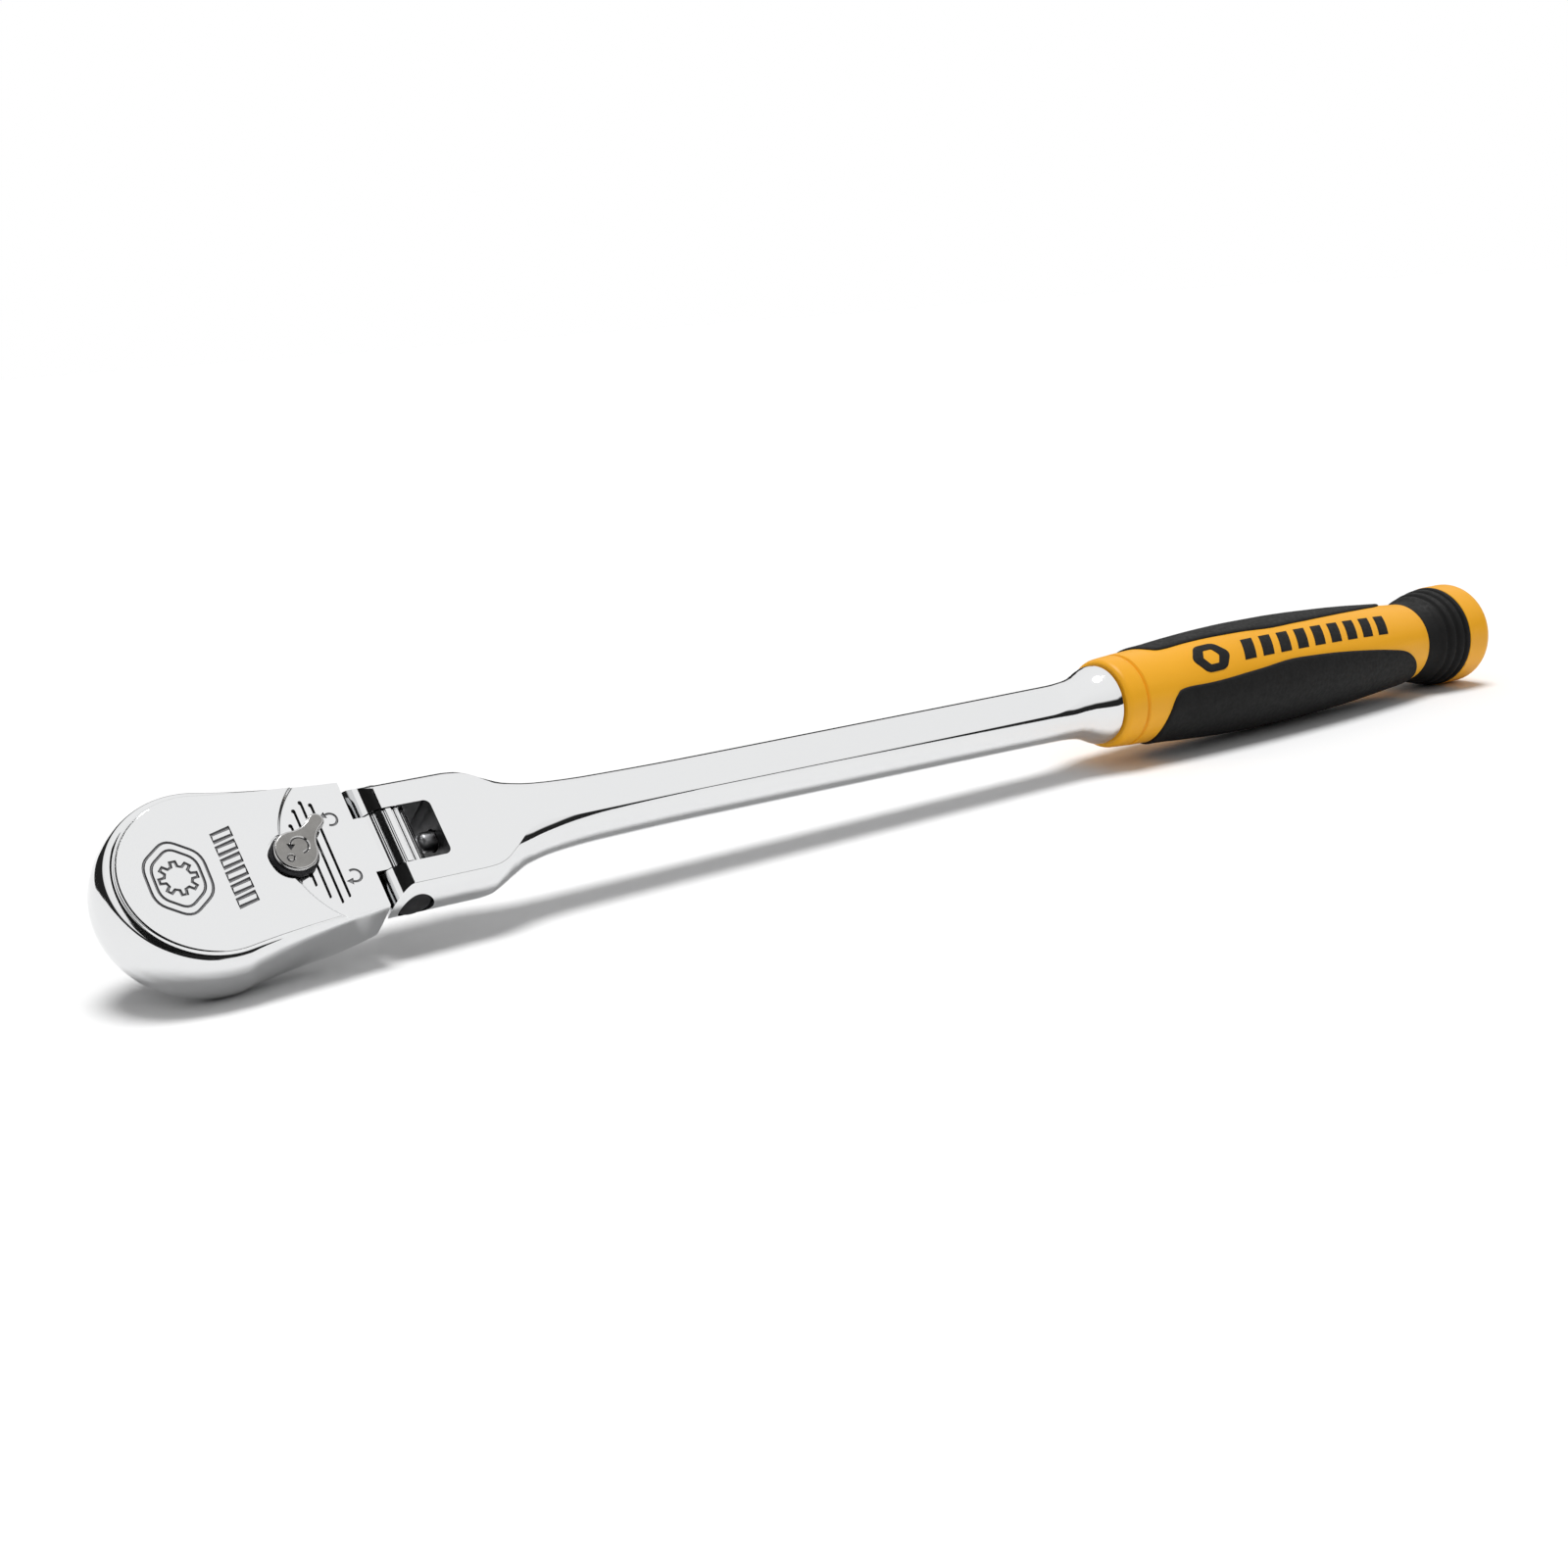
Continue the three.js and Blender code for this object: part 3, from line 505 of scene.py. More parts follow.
def rounded_polygon(centre, radius, sides, turn=0.0, soften=0.25, stretch=1.0, steps=5):
    """A regular polygon with round corners, stretched along Y."""
    corners = [
        Vector((math.cos(turn + 2 * math.pi * i / sides), math.sin(turn + 2 * math.pi * i / sides)))
        * radius for i in range(sides)
    ]
    points = []
    for i, corner in enumerate(corners):
        before = corner.lerp(corners[i - 1], soften)
        after = corner.lerp(corners[(i + 1) % sides], soften)
        for k in range(steps + 1):
            t = k / steps
            p = before * (1 - t) ** 2 + corner * 2 * t * (1 - t) + after * t * t
            points.append((centre[0] + p.x, centre[1] + p.y * stretch))
    return points


def cog_outline(centre, outer, inner, teeth):
    points = []
    for i in range(teeth):
        middle = 2 * math.pi * i / teeth
        pitch = 2 * math.pi / teeth
        for share, radius in ((-0.30, inner), (-0.17, outer), (0.17, outer), (0.30, inner)):
            angle = middle + share * pitch
            points.append((centre[0] + radius * math.cos(angle),
                           centre[1] + radius * math.sin(angle)))
    return points


def head_marks():
    """Generic engraved marks: a cog in a hexagon, a row of slanted bars, two turn arrows."""
    quarter_turn = math.radians(90)
    outlines = [
        rounded_polygon(BADGE, 5.7, 6, quarter_turn, 0.3, 1.28),
        rounded_polygon(BADGE, 4.4, 6, quarter_turn, 0.3, 1.3),
        cog_outline(BADGE, 3.1, 2.2, 8),
    ]
    bars, row_half = 6, 6.2
    for i in range(bars):
        y = -row_half + 2 * row_half * i / (bars - 1)
        outlines.append([(2.6, y - 1.1), (6.0, y - 0.3), (6.0, y + 1.1), (2.6, y + 0.3)])
    cutters = [ribbon(outline, MARK_HALF, HEAD_TOP - MARK_DEPTH, HEAD_TOP, True)
               for outline in outlines]
    deck_bottom = DECK_Z - ARROW_DEPTH
    for side in (1, -1):
        spot = (ARROW_X, side * ARROW_Y)
        sweep = arc(spot, 1.15, -side * 120, side * 120, 14)
        cutters.append(ribbon(sweep, 0.22, deck_bottom, DECK_Z))
        tip = Vector(sweep[-1])
        run = (tip - Vector(sweep[-3])).normalized()
        across = Vector((-run.y, run.x))
        head = [tip + across * 0.65, tip - across * 0.65, tip + run * 1.2]
        cutters.append(prism("cutter", [(p.x, p.y) for p in head], deck_bottom, DECK_Z + 1))
    return cutters


def tongue_outline():
    """Side view of the tongue, which runs into the round knuckle."""
    low, high = AXIS_Z - TONGUE_HALF_HEIGHT, AXIS_Z + TONGUE_HALF_HEIGHT
    meet = math.degrees(math.asin(TONGUE_HALF_HEIGHT / KNUCKLE_RADIUS))
    knuckle = arc((PIN.x, AXIS_Z), KNUCKLE_RADIUS, meet - 180, 180 - meet, 120)
    return [(REAR_X - 3, high)] + knuckle[::-1] + [(REAR_X - 3, low)]


def build_head():
    rings = [[Vector((p.x, p.y, AXIS_Z + z)) for p in head_outline(bulge)]
             for z, bulge in head_wall()]
    head = skin("head_shell", rings)
    cut(head, underside_cutter())
    half = TONGUE_HALF_WIDTH
    tongue = prism("tongue", tongue_outline(), -half, half, UPRIGHT)
    for turn in NOTCH_TURNS:
        spot = (PIN.x + KNUCKLE_RADIUS * math.cos(math.radians(turn)), 0,
                AXIS_Z + KNUCKLE_RADIUS * math.sin(math.radians(turn)))
        cut(tongue, rod("y", NOTCH_RADIUS, -half - 1, half + 1, spot, 24))
    join(head, tongue)

    bowl = [(DECK_Z, DECK_RADIUS - 0.7), (DECK_Z + 0.03, DECK_RADIUS - 0.42),
            (DECK_Z + 0.12, DECK_RADIUS - 0.2), (DECK_Z + 0.3, DECK_RADIUS - 0.03),
            (DECK_Z + 0.5, DECK_RADIUS + 0.1), (DECK_Z + 0.63, DECK_RADIUS + 0.27),
            (HEAD_TOP + 0.01, DECK_RADIUS + 0.6), (HEAD_TOP + 0.3, DECK_RADIUS + 0.9)]
    deck = lathe("cutter", "z", bowl, DECK_CENTRE, 240)
    cut(deck, block((REAR_X, 60), (-20, 20), (0, 40)))
    cut(head, deck)

    under = HEAD_BOTTOM - 2
    seat_top = COVER_HIGH.z + 0.3
    cavity_top = 22.8
    stem_low, boss_bore, stem_bore = 13.9, 4.45, 3.3
    gear_bore, hub_bore, hub_top = 8.7, 4.25, 23.8
    pawl_pocket = sector(7.7, 11.95, 43)
    pin_bore = 3.3
    stem_spot = (STEM.x, 0, 0)
    sweep = rod("z", boss_bore, stem_low, cavity_top, stem_spot)
    cut(sweep, block((STEM.x, 30), (-20, 20), (0, 40)))
    cut(
        head,
        rod("z", boss_bore, DECK_Z, HEAD_TOP + 2, stem_spot),
        rod("z", stem_bore, stem_low, HEAD_TOP + 2, stem_spot),
        sweep,
        rod("z", gear_bore, under, cavity_top),
        rod("z", hub_bore, cavity_top - 1, hub_top),
        prism("cutter", pawl_pocket, seat_top - 1, cavity_top),
        rod("z", COVER_HIGH.x + 0.3, under, seat_top, segments=128),
        rod("z", RING_HIGH.x + 0.3, RING_LOW.z - 0.2, RING_HIGH.z + 0.15, segments=128),
        rod("y", pin_bore, -7, 7, (PIN.x, 0, AXIS_Z)),
    )
    break_edges(head, width=0.14)
    cut(head, *head_marks())
    for x, reach in DECK_GROOVES:
        cut(head, capsule(x, reach, half=0.36, depth=0.5))
    polish(head)
    finish_piece(head, "head_shell", "head", CHROME, ["head_housing"])
    # Faces inside the engraved marks on the top and the deck take the dark satin as painted shade
    # in the grooves.
    head.data.materials.append(ENGRAVED_GROOVE_SHADE)
    brim, arrow_half = 0.06, 2.2
    for face in head.data.polygons:
        x, y, z = face.center / MM
        by_badge = x < MARKS_REAR and math.hypot(x, y) < MARKS_RADIUS
        on_top = by_badge and brim < HEAD_TOP - z < MARK_DEPTH + 0.01
        by_arrow = abs(x - ARROW_X) < arrow_half and abs(abs(y) - ARROW_Y) < arrow_half
        on_deck = by_arrow and brim < DECK_Z - z < ARROW_DEPTH + 0.01 and face.area < MM * MM
        face.material_index = int(on_top or on_deck)


def build_cover():
    bottom, top = COVER_LOW.z, COVER_HIGH.z
    outer, hole = COVER_HIGH.x, 7.35
    profile = [(bottom, hole + 0.2), (bottom + 0.2, hole), (top, hole), (top, outer),
               (bottom + 0.25, outer), (bottom, outer - 0.25)]
    plate = lathe("cover", "z", profile, closed=True, segments=160)
    polish(plate)
    finish_piece(plate, "cover_disc", "head", COVER_STEEL, ["cover_plate"])


def build_retaining_ring():
    outer, inner, lug_inner = RING_HIGH.y, 11.6, 10.3
    gap, reach = 9, 15
    body = prism("ring", sector(inner, outer, 180 - gap, 120), RING_LOW.z, RING_HIGH.z)
    for side in (1, -1):
        middle = 180 - side * (gap + reach) / 2
        lug = sector(lug_inner, outer - 0.2, (reach - gap) / 2 + 0.6, 10, middle)
        join(body, prism("cutter", lug, RING_LOW.z, RING_HIGH.z))
        spot = arc((0, 0), (lug_inner + inner) / 2 + 0.25, middle, middle, 1)[0]
        cut(body, rod("z", 0.5, RING_LOW.z - 1, RING_HIGH.z + 1, (*spot, 0), 24))
    polish(body, edge=0.08)
    finish_piece(body, "snap_ring", "head", SPRING_STEEL, ["cover_retaining_ring"])


def gear_outline():
    teeth, tip, root = 60, 8.4, 7.9
    pitch = 2 * math.pi / teeth
    points = []
    for i in range(teeth):
        for share, radius in ((-0.42, root), (-0.09, tip), (0.09, tip), (0.42, root)):
            angle = (i + share) * pitch
            points.append((radius * math.cos(angle), radius * math.sin(angle)))
    return points


def build_drive():
    half = SQUARE_HALF
    corner = 0.75
    reach = (half - corner) * math.sqrt(2)
    square = []
    for i in range(4):
        middle = 90 * i + 45
        spot = (reach * math.cos(math.radians(middle)), reach * math.sin(math.radians(middle)))
        square += arc(spot, corner, middle - 45, middle + 45, 6)
    tang = prism("tang", square, 0, 12)
    trim = lathe("trim", "z", [(-1, half - 0.7), (0, half + 0.35), (1.4, half + 1.75),
                               (12, half + 2.2), (13, half + 2.2)], segments=96)
    combine(tang, trim, "INTERSECT")
    journal = [(10.6, 6.8), (10.75, 7.1), (15, 7.1)]
    teeth_low, teeth_high = 14.1, 22.5
    hub_radius, hub_high = 4, 23.5
    join(tang, lathe("journal", "z", journal, segments=128))
    join(tang, prism("teeth", gear_outline(), teeth_low, teeth_high))
    join(tang, rod("z", hub_radius, 22, hub_high))
    ball_bore = 2.05
    ball_spot = (0, 0, (BALL_LOW.z + BALL_HIGH.z) / 2)
    cut(tang, rod("y", ball_bore, -half - 1, 1.5, ball_spot, 48))
    polish(tang, edge=0.12)
    finish_piece(tang, "drive_square", "drive", DRIVE_STEEL, ["drive_gear"])


def build_ball():
    centre = (BALL_LOW + BALL_HIGH) / 2
    radius = (BALL_HIGH.y - BALL_LOW.y) / 2
    profile = [(radius * math.sin(a), radius * math.cos(a))
               for a in (math.radians(-90 + 180 * i / 24) for i in range(25))]
    ball = lathe("ball", "z", profile, centre, 48)
    polish(ball)
    finish_piece(ball, "detent_ball_round", "ball", SPRING_STEEL, ["detent_ball"])


# ---- Lever ----------------------------------------------------------------------------------

def lever_outline(shrink=0.0):
    """Round disc, hollow flanks and a small round knob, knob along +X."""
    disc, knob, reach = 3.75 - shrink, 1.4 - shrink, 7.1
    leave, arrive = 44, 100
    start = Vector(arc((0, 0), disc, leave, leave, 1)[0])
    end = Vector(arc((reach, 0), knob, arrive, arrive, 1)[0])
    out = Vector((math.sin(math.radians(leave)), -math.cos(math.radians(leave))))
    back = Vector((-math.sin(math.radians(arrive)), math.cos(math.radians(arrive))))
    first, second = start + out * 1.5, end + back * 1.6
    flank = []
    for i in range(1, 20):
        t = i / 20
        flank.append(start * (1 - t) ** 3 + first * 3 * t * (1 - t) ** 2
                     + second * 3 * t * t * (1 - t) + end * t ** 3)
    upper = [(p.x, p.y) for p in flank]
    lower = [(p.x, -p.y) for p in flank]
    return (arc((0, 0), disc, leave, 360 - leave, 90) + lower
            + arc((reach, 0), knob, -arrive, arrive, 30) + upper[::-1])


def build_lever():
    low, high = HEAD_TOP + 0.3, AXIS_Z + 6.5
    levels = [(low, 0.18), (low + 0.15, 0.0), (high - 0.42, 0.0), (high - 0.2, 0.06),
              (high - 0.05, 0.22), (high, 0.40)]
    rings = [[Vector((x, y, z)) for x, y in lever_outline(s)] for z, s in levels]
    plate = skin("lever", rings)
    deck = DECK_Z
    stem_low, stem, groove, disc = 14.2, 3.0, 2.2, 4.1
    boss = [(stem_low, stem), (deck - 1.6, stem), (deck - 1.6, groove), (deck - 0.3, groove),
            (deck - 0.3, stem), (deck + 0.3, stem), (deck + 0.3, disc - 0.15),
            (deck + 0.45, disc), (low - 0.15, disc), (low + 0.3, disc - 0.4)]
    join(plate, lathe("boss", "z", boss, segments=96))
    plunger_bore = 1.05
    for node in ("upper_pawl_plunger", "lower_pawl_plunger"):
        bottom, top = box_mm(node)
        cut(plate, rod("x", plunger_bore, -4, 1.9, (0, 0, (bottom.z + top.z) / 2), 32))
    mark_bottom = high - 0.22
    centre_x, radius, end = 1.15, 1.5, 120
    marks = [
        ribbon(arc((centre_x, 0), radius, -130, end, 16), 0.26, mark_bottom, high),
        ribbon(arc((-1.85, 0), 0.62, 0, 345, 20), 0.2, mark_bottom, high),
    ]
    ahead, aside = math.cos(math.radians(end)), math.sin(math.radians(end))
    tip = Vector((centre_x + radius * ahead, radius * aside))
    run = Vector((-aside, ahead))
    across = Vector((-run.y, run.x))
    head = [tip + across * 0.75, tip - across * 0.75, tip + run * 1.2]
    marks.append(prism("cutter", [(p.x, p.y) for p in head], mark_bottom, high + 1))
    cut(plate, *marks)
    polish(plate, edge=0.05, angle=30)
    plate.data.transform(
        Matrix.Translation((STEM.x * MM, 0, 0)) @ Matrix.Rotation(LEVER_ANGLE, 4, "Z"))
    finish_piece(plate, "lever_plate", "lever", LEVER_EDGE, ["reverse_lever"])
    plate.data.materials.append(LEVER_TOP_FACE)
    plate.data.materials.append(BLACK_OXIDE_AND_SHADE)
    # Faces below the lever's top band, the boss under it and the upward floors of the marks take
    # the near-black as painted shade.
    for face in plate.data.polygons:
        if face.center.z > (high - 0.01) * MM:
            face.material_index = 1
        elif face.center.z < (high - 0.45) * MM or face.normal.z > 0.99:
            face.material_index = 2


# ---- Handle ---------------------------------------------------------------------------------

# Along the handle from the pin: half width, half width of the flat, half height, edge radius
BAR = [
    (-5, 11.95, 9.5, 4.9, 0.3), (12.5, 11.95, 9.5, 4.9, 0.3), (15, 11.72, 9.35, 4.9, 0.3),
    (17, 11.0, 8.75, 4.9, 0.3), (20, 9.6, 6.8, 4.9, 0.3), (24, 7.9, 4.0, 4.93, 0.35),
    (28.6, 6.9, 3.0, 4.97, 0.5), (33, 6.42, 2.95, 5.0, 0.7), (40, 6.05, 2.9, 5.0, 0.75),
    (60, 5.78, 2.8, 5.0, 0.75), (110, 5.9, 2.85, 5.0, 0.75), (148, 6.05, 2.75, 5.02, 0.75),
    (153, 6.08, 2.2, 5.2, 1.0), (157, 6.25, 0.9, 5.95, 2.0), (159.5, 6.6, 0.06, 6.6, 3.0),
    (161.5, 7.2, 0.06, 7.2, 3.0), (163.6, 8.0, 0.06, 8.0, 3.0), (165, 8.4, 0.06, 8.4, 3.0),
    (165.8, 8.45, 0.06, 8.45, 3.0), (166.2, 8.25, 0.06, 8.25, 3.0),
]

# Points on each stretch of a quarter of the bar's section
FLAT_STEPS, EDGE_STEPS, SIDE_STEPS = 4, 8, 26


def bar_section(x, half, flat, height, edge):
    """Flat, edge round and side arc of one quarter, mirrored round the section."""
    step = flat - half
    drop = height - edge
    radius = (step * step + drop * drop - edge * edge) / (2 * (half - flat - edge))
    side_y = half - radius
    lean = math.degrees(math.atan2(drop, flat - side_y))
    quarter = [(flat * i / FLAT_STEPS, height) for i in range(FLAT_STEPS)]
    quarter += arc((flat, drop), edge, 90, lean, EDGE_STEPS)[:-1]
    quarter += arc((side_y, 0), radius, lean, 0, SIDE_STEPS)
    ring = quarter + [(y, -z) for y, z in reversed(quarter[:-1])]
    ring += [(-y, z) for y, z in reversed(ring[1:-1])]
    return [Vector((PIN.x + x, y, AXIS_Z + z)) for y, z in ring]


def bar_rings():
    columns = [smooth_line([(row[0], row[k]) for row in BAR], 12) for k in range(1, 5)]
    return [bar_section(columns[0][i][0], *[column[i][1] for column in columns])
            for i in range(len(columns[0]))]


def build_bar():
    bar = skin("bar", bar_rings())
    core_start, core_end, core_radius = 160, 262, 5
    join(bar, rod("x", core_radius, PIN.x + core_start, PIN.x + core_end, (0, 0, AXIS_Z)))
    pin_spot = (PIN.x, 0, AXIS_Z)
    ear_radius, pin_bore = 4.95, 3.22
    front = block((PIN.x - 8, PIN.x - 0.35), (-20, 20), (0, 40))
    cut(front, rod("y", ear_radius, -21, 21, pin_spot, 128))
    slot_rear, corner, slot_half = PIN.x + 8, 1.2, 5.5
    plunger_bore, bore_end = 2.1, PIN.x + 22
    slot = [(PIN.x - 12, -slot_half), (slot_rear - corner, -slot_half)]
    slot += arc((slot_rear - corner, -slot_half + corner), corner, -90, 0, 10)[1:]
    slot += arc((slot_rear - corner, slot_half - corner), corner, 0, 90, 10)
    slot += [(PIN.x - 12, slot_half)]
    cut(
        bar,
        front,
        prism("cutter", slot, 0, 40),
        rod("y", pin_bore, -20, 20, pin_spot),
        rod("x", plunger_bore, slot_rear - 1, bore_end, (0, 0, AXIS_Z), 64),
    )
    polish(bar, edge=0.16, angle=40)
    finish_piece(bar, "yoke_and_bar", "handle", CHROME, ["handle_forging"])
    bar.data.materials.append(BLACK_OXIDE_AND_SHADE)
    # The slot's side walls and the plunger bore take the near-black as painted shade in these
    # hollows.
    for face in bar.data.polygons:
        x, y, z = face.center / MM
        in_slot = PIN.x + 1 < x < slot_rear + 0.1 and abs(y) < slot_half + 0.05
        off_axis = math.hypot(y, z - AXIS_Z)
        in_bore = slot_rear < x < bore_end + 1 and off_axis < plunger_bore + 0.2
        face.material_index = int((in_slot and abs(face.normal.z) < 0.5) or in_bore)


def build_pin():
    half = box_mm("flex_pin")[1].y
    profile = [(-half + 0.05, 1.5), (-half, 2.4), (-half + 0.1, 2.8), (-half + 0.4, 3.08),
               (half - 0.4, 3.08), (half - 0.1, 2.8), (half, 2.4), (half - 0.05, 1.5)]
    pin = lathe("pin", "y", profile, (PIN.x, 0, AXIS_Z), 96)
    polish(pin)
    finish_piece(pin, "flex_pin_round", "handle", BLACK_OXIDE_AND_SHADE, ["flex_pin"])


def build_flex_plunger():
    start, end = PLUNGER_LOW.x, PLUNGER_HIGH.x
    profile = [(start, 0.4), (start + 0.15, 1.0), (start + 0.5, 1.5), (start + 1.1, 1.8),
               (end, 1.8)]
    plunger = lathe("plunger", "x", profile, (0, 0, AXIS_Z), 48)
    polish(plunger)
    finish_piece(
        plunger, "flex_plunger_round", "handle", DRIVE_STEEL, ["flex_plunger"])


# ---- Grip -----------------------------------------------------------------------------------

SLEEVE_LINE = smooth_line([
    (172.8, 9.95), (181, 10.3), (190, 10.95), (200, 11.5), (210, 11.76), (220, 11.76),
    (230, 11.56), (240, 11.12), (250, 10.48), (260, 9.68), (266.2, 9.2),
], 8)


def sleeve_radius(x):
    return value_at(SLEEVE_LINE, x)


def build_sleeve():
    front = SLEEVE_LOW.x - PIN.x
    end = SLEEVE_HIGH.x - PIN.x
    collar = [(front, 8.62), (front + 0.05, 8.85), (front + 0.25, 9.15), (front + 0.6, 9.42),
              (front + 1.2, 9.6), (front + 3, 9.75), (171.3, 9.84), (171.6, 9.8), (171.78, 9.68),
              (171.88, 9.4), (172.1, 9.2), (172.32, 9.4), (172.42, 9.7), (172.6, 9.9)]
    tail = [(266.4, 9.1), (end, 8.85)]
    bore = [(end, 5.3), (front, 5.3)]
    profile = collar + SLEEVE_LINE + tail + bore
    sleeve = lathe("sleeve", "x", profile, (PIN.x, 0, AXIS_Z), 192, closed=True)
    polish(sleeve)
    finish_piece(sleeve, "grip_body", "handle", ORANGE, ["grip_sleeve"])


# Upper edge of a pad in side view, from its front to its rear
PAD_EDGE = [(177.2, 0), (177.5, 3.2), (178.7, 6.6), (180.2, 8.3), (182.6, 9.05), (191.5, 9.65),
            (203, 10.45), (216, 10.95), (230, 10.55), (243, 9.5), (253, 8.2), (257.8, 7.1),
            (261.0, 5.2), (263.0, 2.6), (263.8, 0)]


def loop_through(points, steps):
    """A closed smooth loop through the points."""
    count = len(points)
    loop = []
    for i in range(count):
        p0, p1, p2, p3 = (Vector(points[(i + k - 1) % count]) for k in range(4))
        for k in range(steps):
            t = k / steps
            loop.append(0.5 * (2 * p1 + (p2 - p0) * t + (2 * p0 - 5 * p1 + 4 * p2 - p3) * t * t
                               + (3 * p1 - p0 - 3 * p2 + p3) * t ** 3))
    return loop


def on_grip(x, angle, lift):
    """A point over the grip's surface; angle 0 is the top, and +90 degrees the +Y side."""
    radius = sleeve_radius(x) + lift
    return Vector((PIN.x + x, radius * math.sin(angle), AXIS_Z + radius * math.cos(angle)))


# How a pad rounds over at its rim, and how far it stands out of and goes into the sleeve
PAD_RISE = 0.5
PAD_BURIED = -1.2
PAD_RIM = 0.9
RIM_DISTANCES = (0.0, 0.04, 0.12, 0.25, 0.42, 0.65, PAD_RIM)
INNER_SHARES = (0.05, 0.1, 0.2, 0.35, 0.55, 0.8, 1.0)
MEAN_RADIUS = 11.0

# Rings of a pad from its edge inward: a distance, and a share of the way left beyond the rim
PAD_RINGS = [(distance, 0) for distance in RIM_DISTANCES]
PAD_RINGS += [(PAD_RIM, share) for share in INNER_SHARES]


def build_pad(side, name, node):
    lower_edge = [(x, -z) for x, z in reversed(PAD_EDGE[1:-1])]
    edge = []
    for p in loop_through(PAD_EDGE + lower_edge, 5):
        span = max(-0.999, min(0.999, p.y / (sleeve_radius(p.x) + 0.01)))
        edge.append(Vector((p.x, math.asin(span))))
    spine_start, spine_end = PAD_EDGE[0][0] + 9, PAD_EDGE[-1][0] - 9

    def place(p, ring, lift=None):
        """The point over the sleeve that lies on a ring, inward from the edge point p."""
        distance, share = ring
        spine = Vector((min(max(p.x, spine_start), spine_end), 0.0))
        inward = Vector((spine.x - p.x, (spine.y - p.y) * MEAN_RADIUS))
        travel = distance + (inward.length - PAD_RIM) * share
        inward.normalize()
        x = p.x + inward.x * travel
        angle = p.y + inward.y * travel / MEAN_RADIUS
        if lift is None:
            t = min(1.0, travel / PAD_RIM)
            lift = PAD_RISE * math.sqrt(max(0.0, 1 - (1 - t) ** 2))
        return on_grip(x, side * math.pi / 2 - angle * side, lift)

    layers = [[place(p, PAD_RINGS[-1], PAD_BURIED) for p in edge],
              [place(p, PAD_RINGS[0], PAD_BURIED) for p in edge]]
    layers += [[place(p, ring) for p in edge] for ring in PAD_RINGS]
    count = len(edge)
    faces = []
    for r in range(len(layers) - 1):
        for i in range(count):
            j = (i + 1) % count
            faces.append((r * count + i, r * count + j, (r + 1) * count + j, (r + 1) * count + i))
    pad = make_object("pad", [p for layer in layers for p in layer], faces)

    def close(bm):
        bmesh.ops.remove_doubles(bm, verts=bm.verts, dist=1e-5)
        bmesh.ops.dissolve_degenerate(bm, edges=bm.edges, dist=1e-6)
        bmesh.ops.recalc_face_normals(bm, faces=bm.faces)
    edit(pad, close)
    polish(pad, angle=60)
    finish_piece(pad, name, "handle", RUBBER, [node])


def build_neck():
    start, end = NECK_LOW.x - PIN.x, NECK_HIGH.x - PIN.x
    line = smooth_line([
        (start, 8.75), (start + 1.4, 9.1), (start + 2.8, 9.62), (start + 3.7, 10.2),
        (start + 4.4, 10.5), (start + 5.1, 10.15), (start + 5.5, 10.0), (start + 6.3, 10.9),
        (start + 7.0, 11.12), (start + 7.6, 10.72), (start + 8.0, 10.55), (start + 8.8, 11.4),
        (start + 9.5, 11.56), (start + 10.1, 11.15), (start + 10.4, 11.0), (start + 11.0, 11.7),
        (end - 0.15, 11.78), (end, 11.6),
    ], 5)
    profile = line + [(end, 6.3), (start, 6.3)]
    neck = lathe("neck", "x", profile, (PIN.x, 0, AXIS_Z), 160, closed=True)
    polish(neck, angle=60)
    finish_piece(neck, "neck_rings", "handle", RUBBER, ["grip_neck_ring"])


def build_cap():
    start, end = NECK_HIGH.x - PIN.x + 0.02, CAP_HIGH.x - PIN.x
    turn = arc((end - 2.9, 9.0), 2.88, 88, 8, 12)
    profile = [(NECK_LOW.x - PIN.x, 6.0), (start, 6.0), (start, 11.62), (start + 0.12, 11.8),
               (start + 0.4, 11.86), (end - 2.9, 11.88)] + turn
    profile += [(end, 8.4), (end - 0.1, 8.1), (end - 0.5, 7.9), (end - 0.6, 7.4), (end - 0.6, 1)]
    cap = lathe("cap", "x", profile, (PIN.x, 0, AXIS_Z), 160)
    polish(cap, angle=40)
    finish_piece(cap, "cap_round", "handle", ORANGE, ["end_cap"])


def grip_patch(outline_at, columns, rows, lift):
    """A thin raised mark on the band: outline_at(u, v) gives distance and arc length."""
    layers = []
    for height in (lift, -0.4):
        for i in range(columns + 1):
            for j in range(rows + 1):
                x, across = outline_at(i / columns, j / rows)
                rim = i in (0, columns) or j in (0, rows)
                angle = across / sleeve_radius(x)
                layers.append(on_grip(x, angle, height if not rim else min(height, lift * 0.5)))
    stride = rows + 1
    half = (columns + 1) * stride
    faces = []
    for i in range(columns):
        for j in range(rows):
            a = i * stride + j
            faces.append((a, a + 1, a + stride + 1, a + stride))
            faces.append((half + a, half + a + stride, half + a + stride + 1, half + a + 1))
    rim = [i * stride for i in range(columns + 1)]
    rim += [columns * stride + j for j in range(1, rows + 1)]
    rim += [i * stride + rows for i in range(columns - 1, -1, -1)]
    rim += [j for j in range(rows - 1, 0, -1)]
    for a, b in zip(rim, rim[1:] + rim[:1]):
        faces.append((a, b, half + b, half + a))
    return make_object("mark", layers, faces)


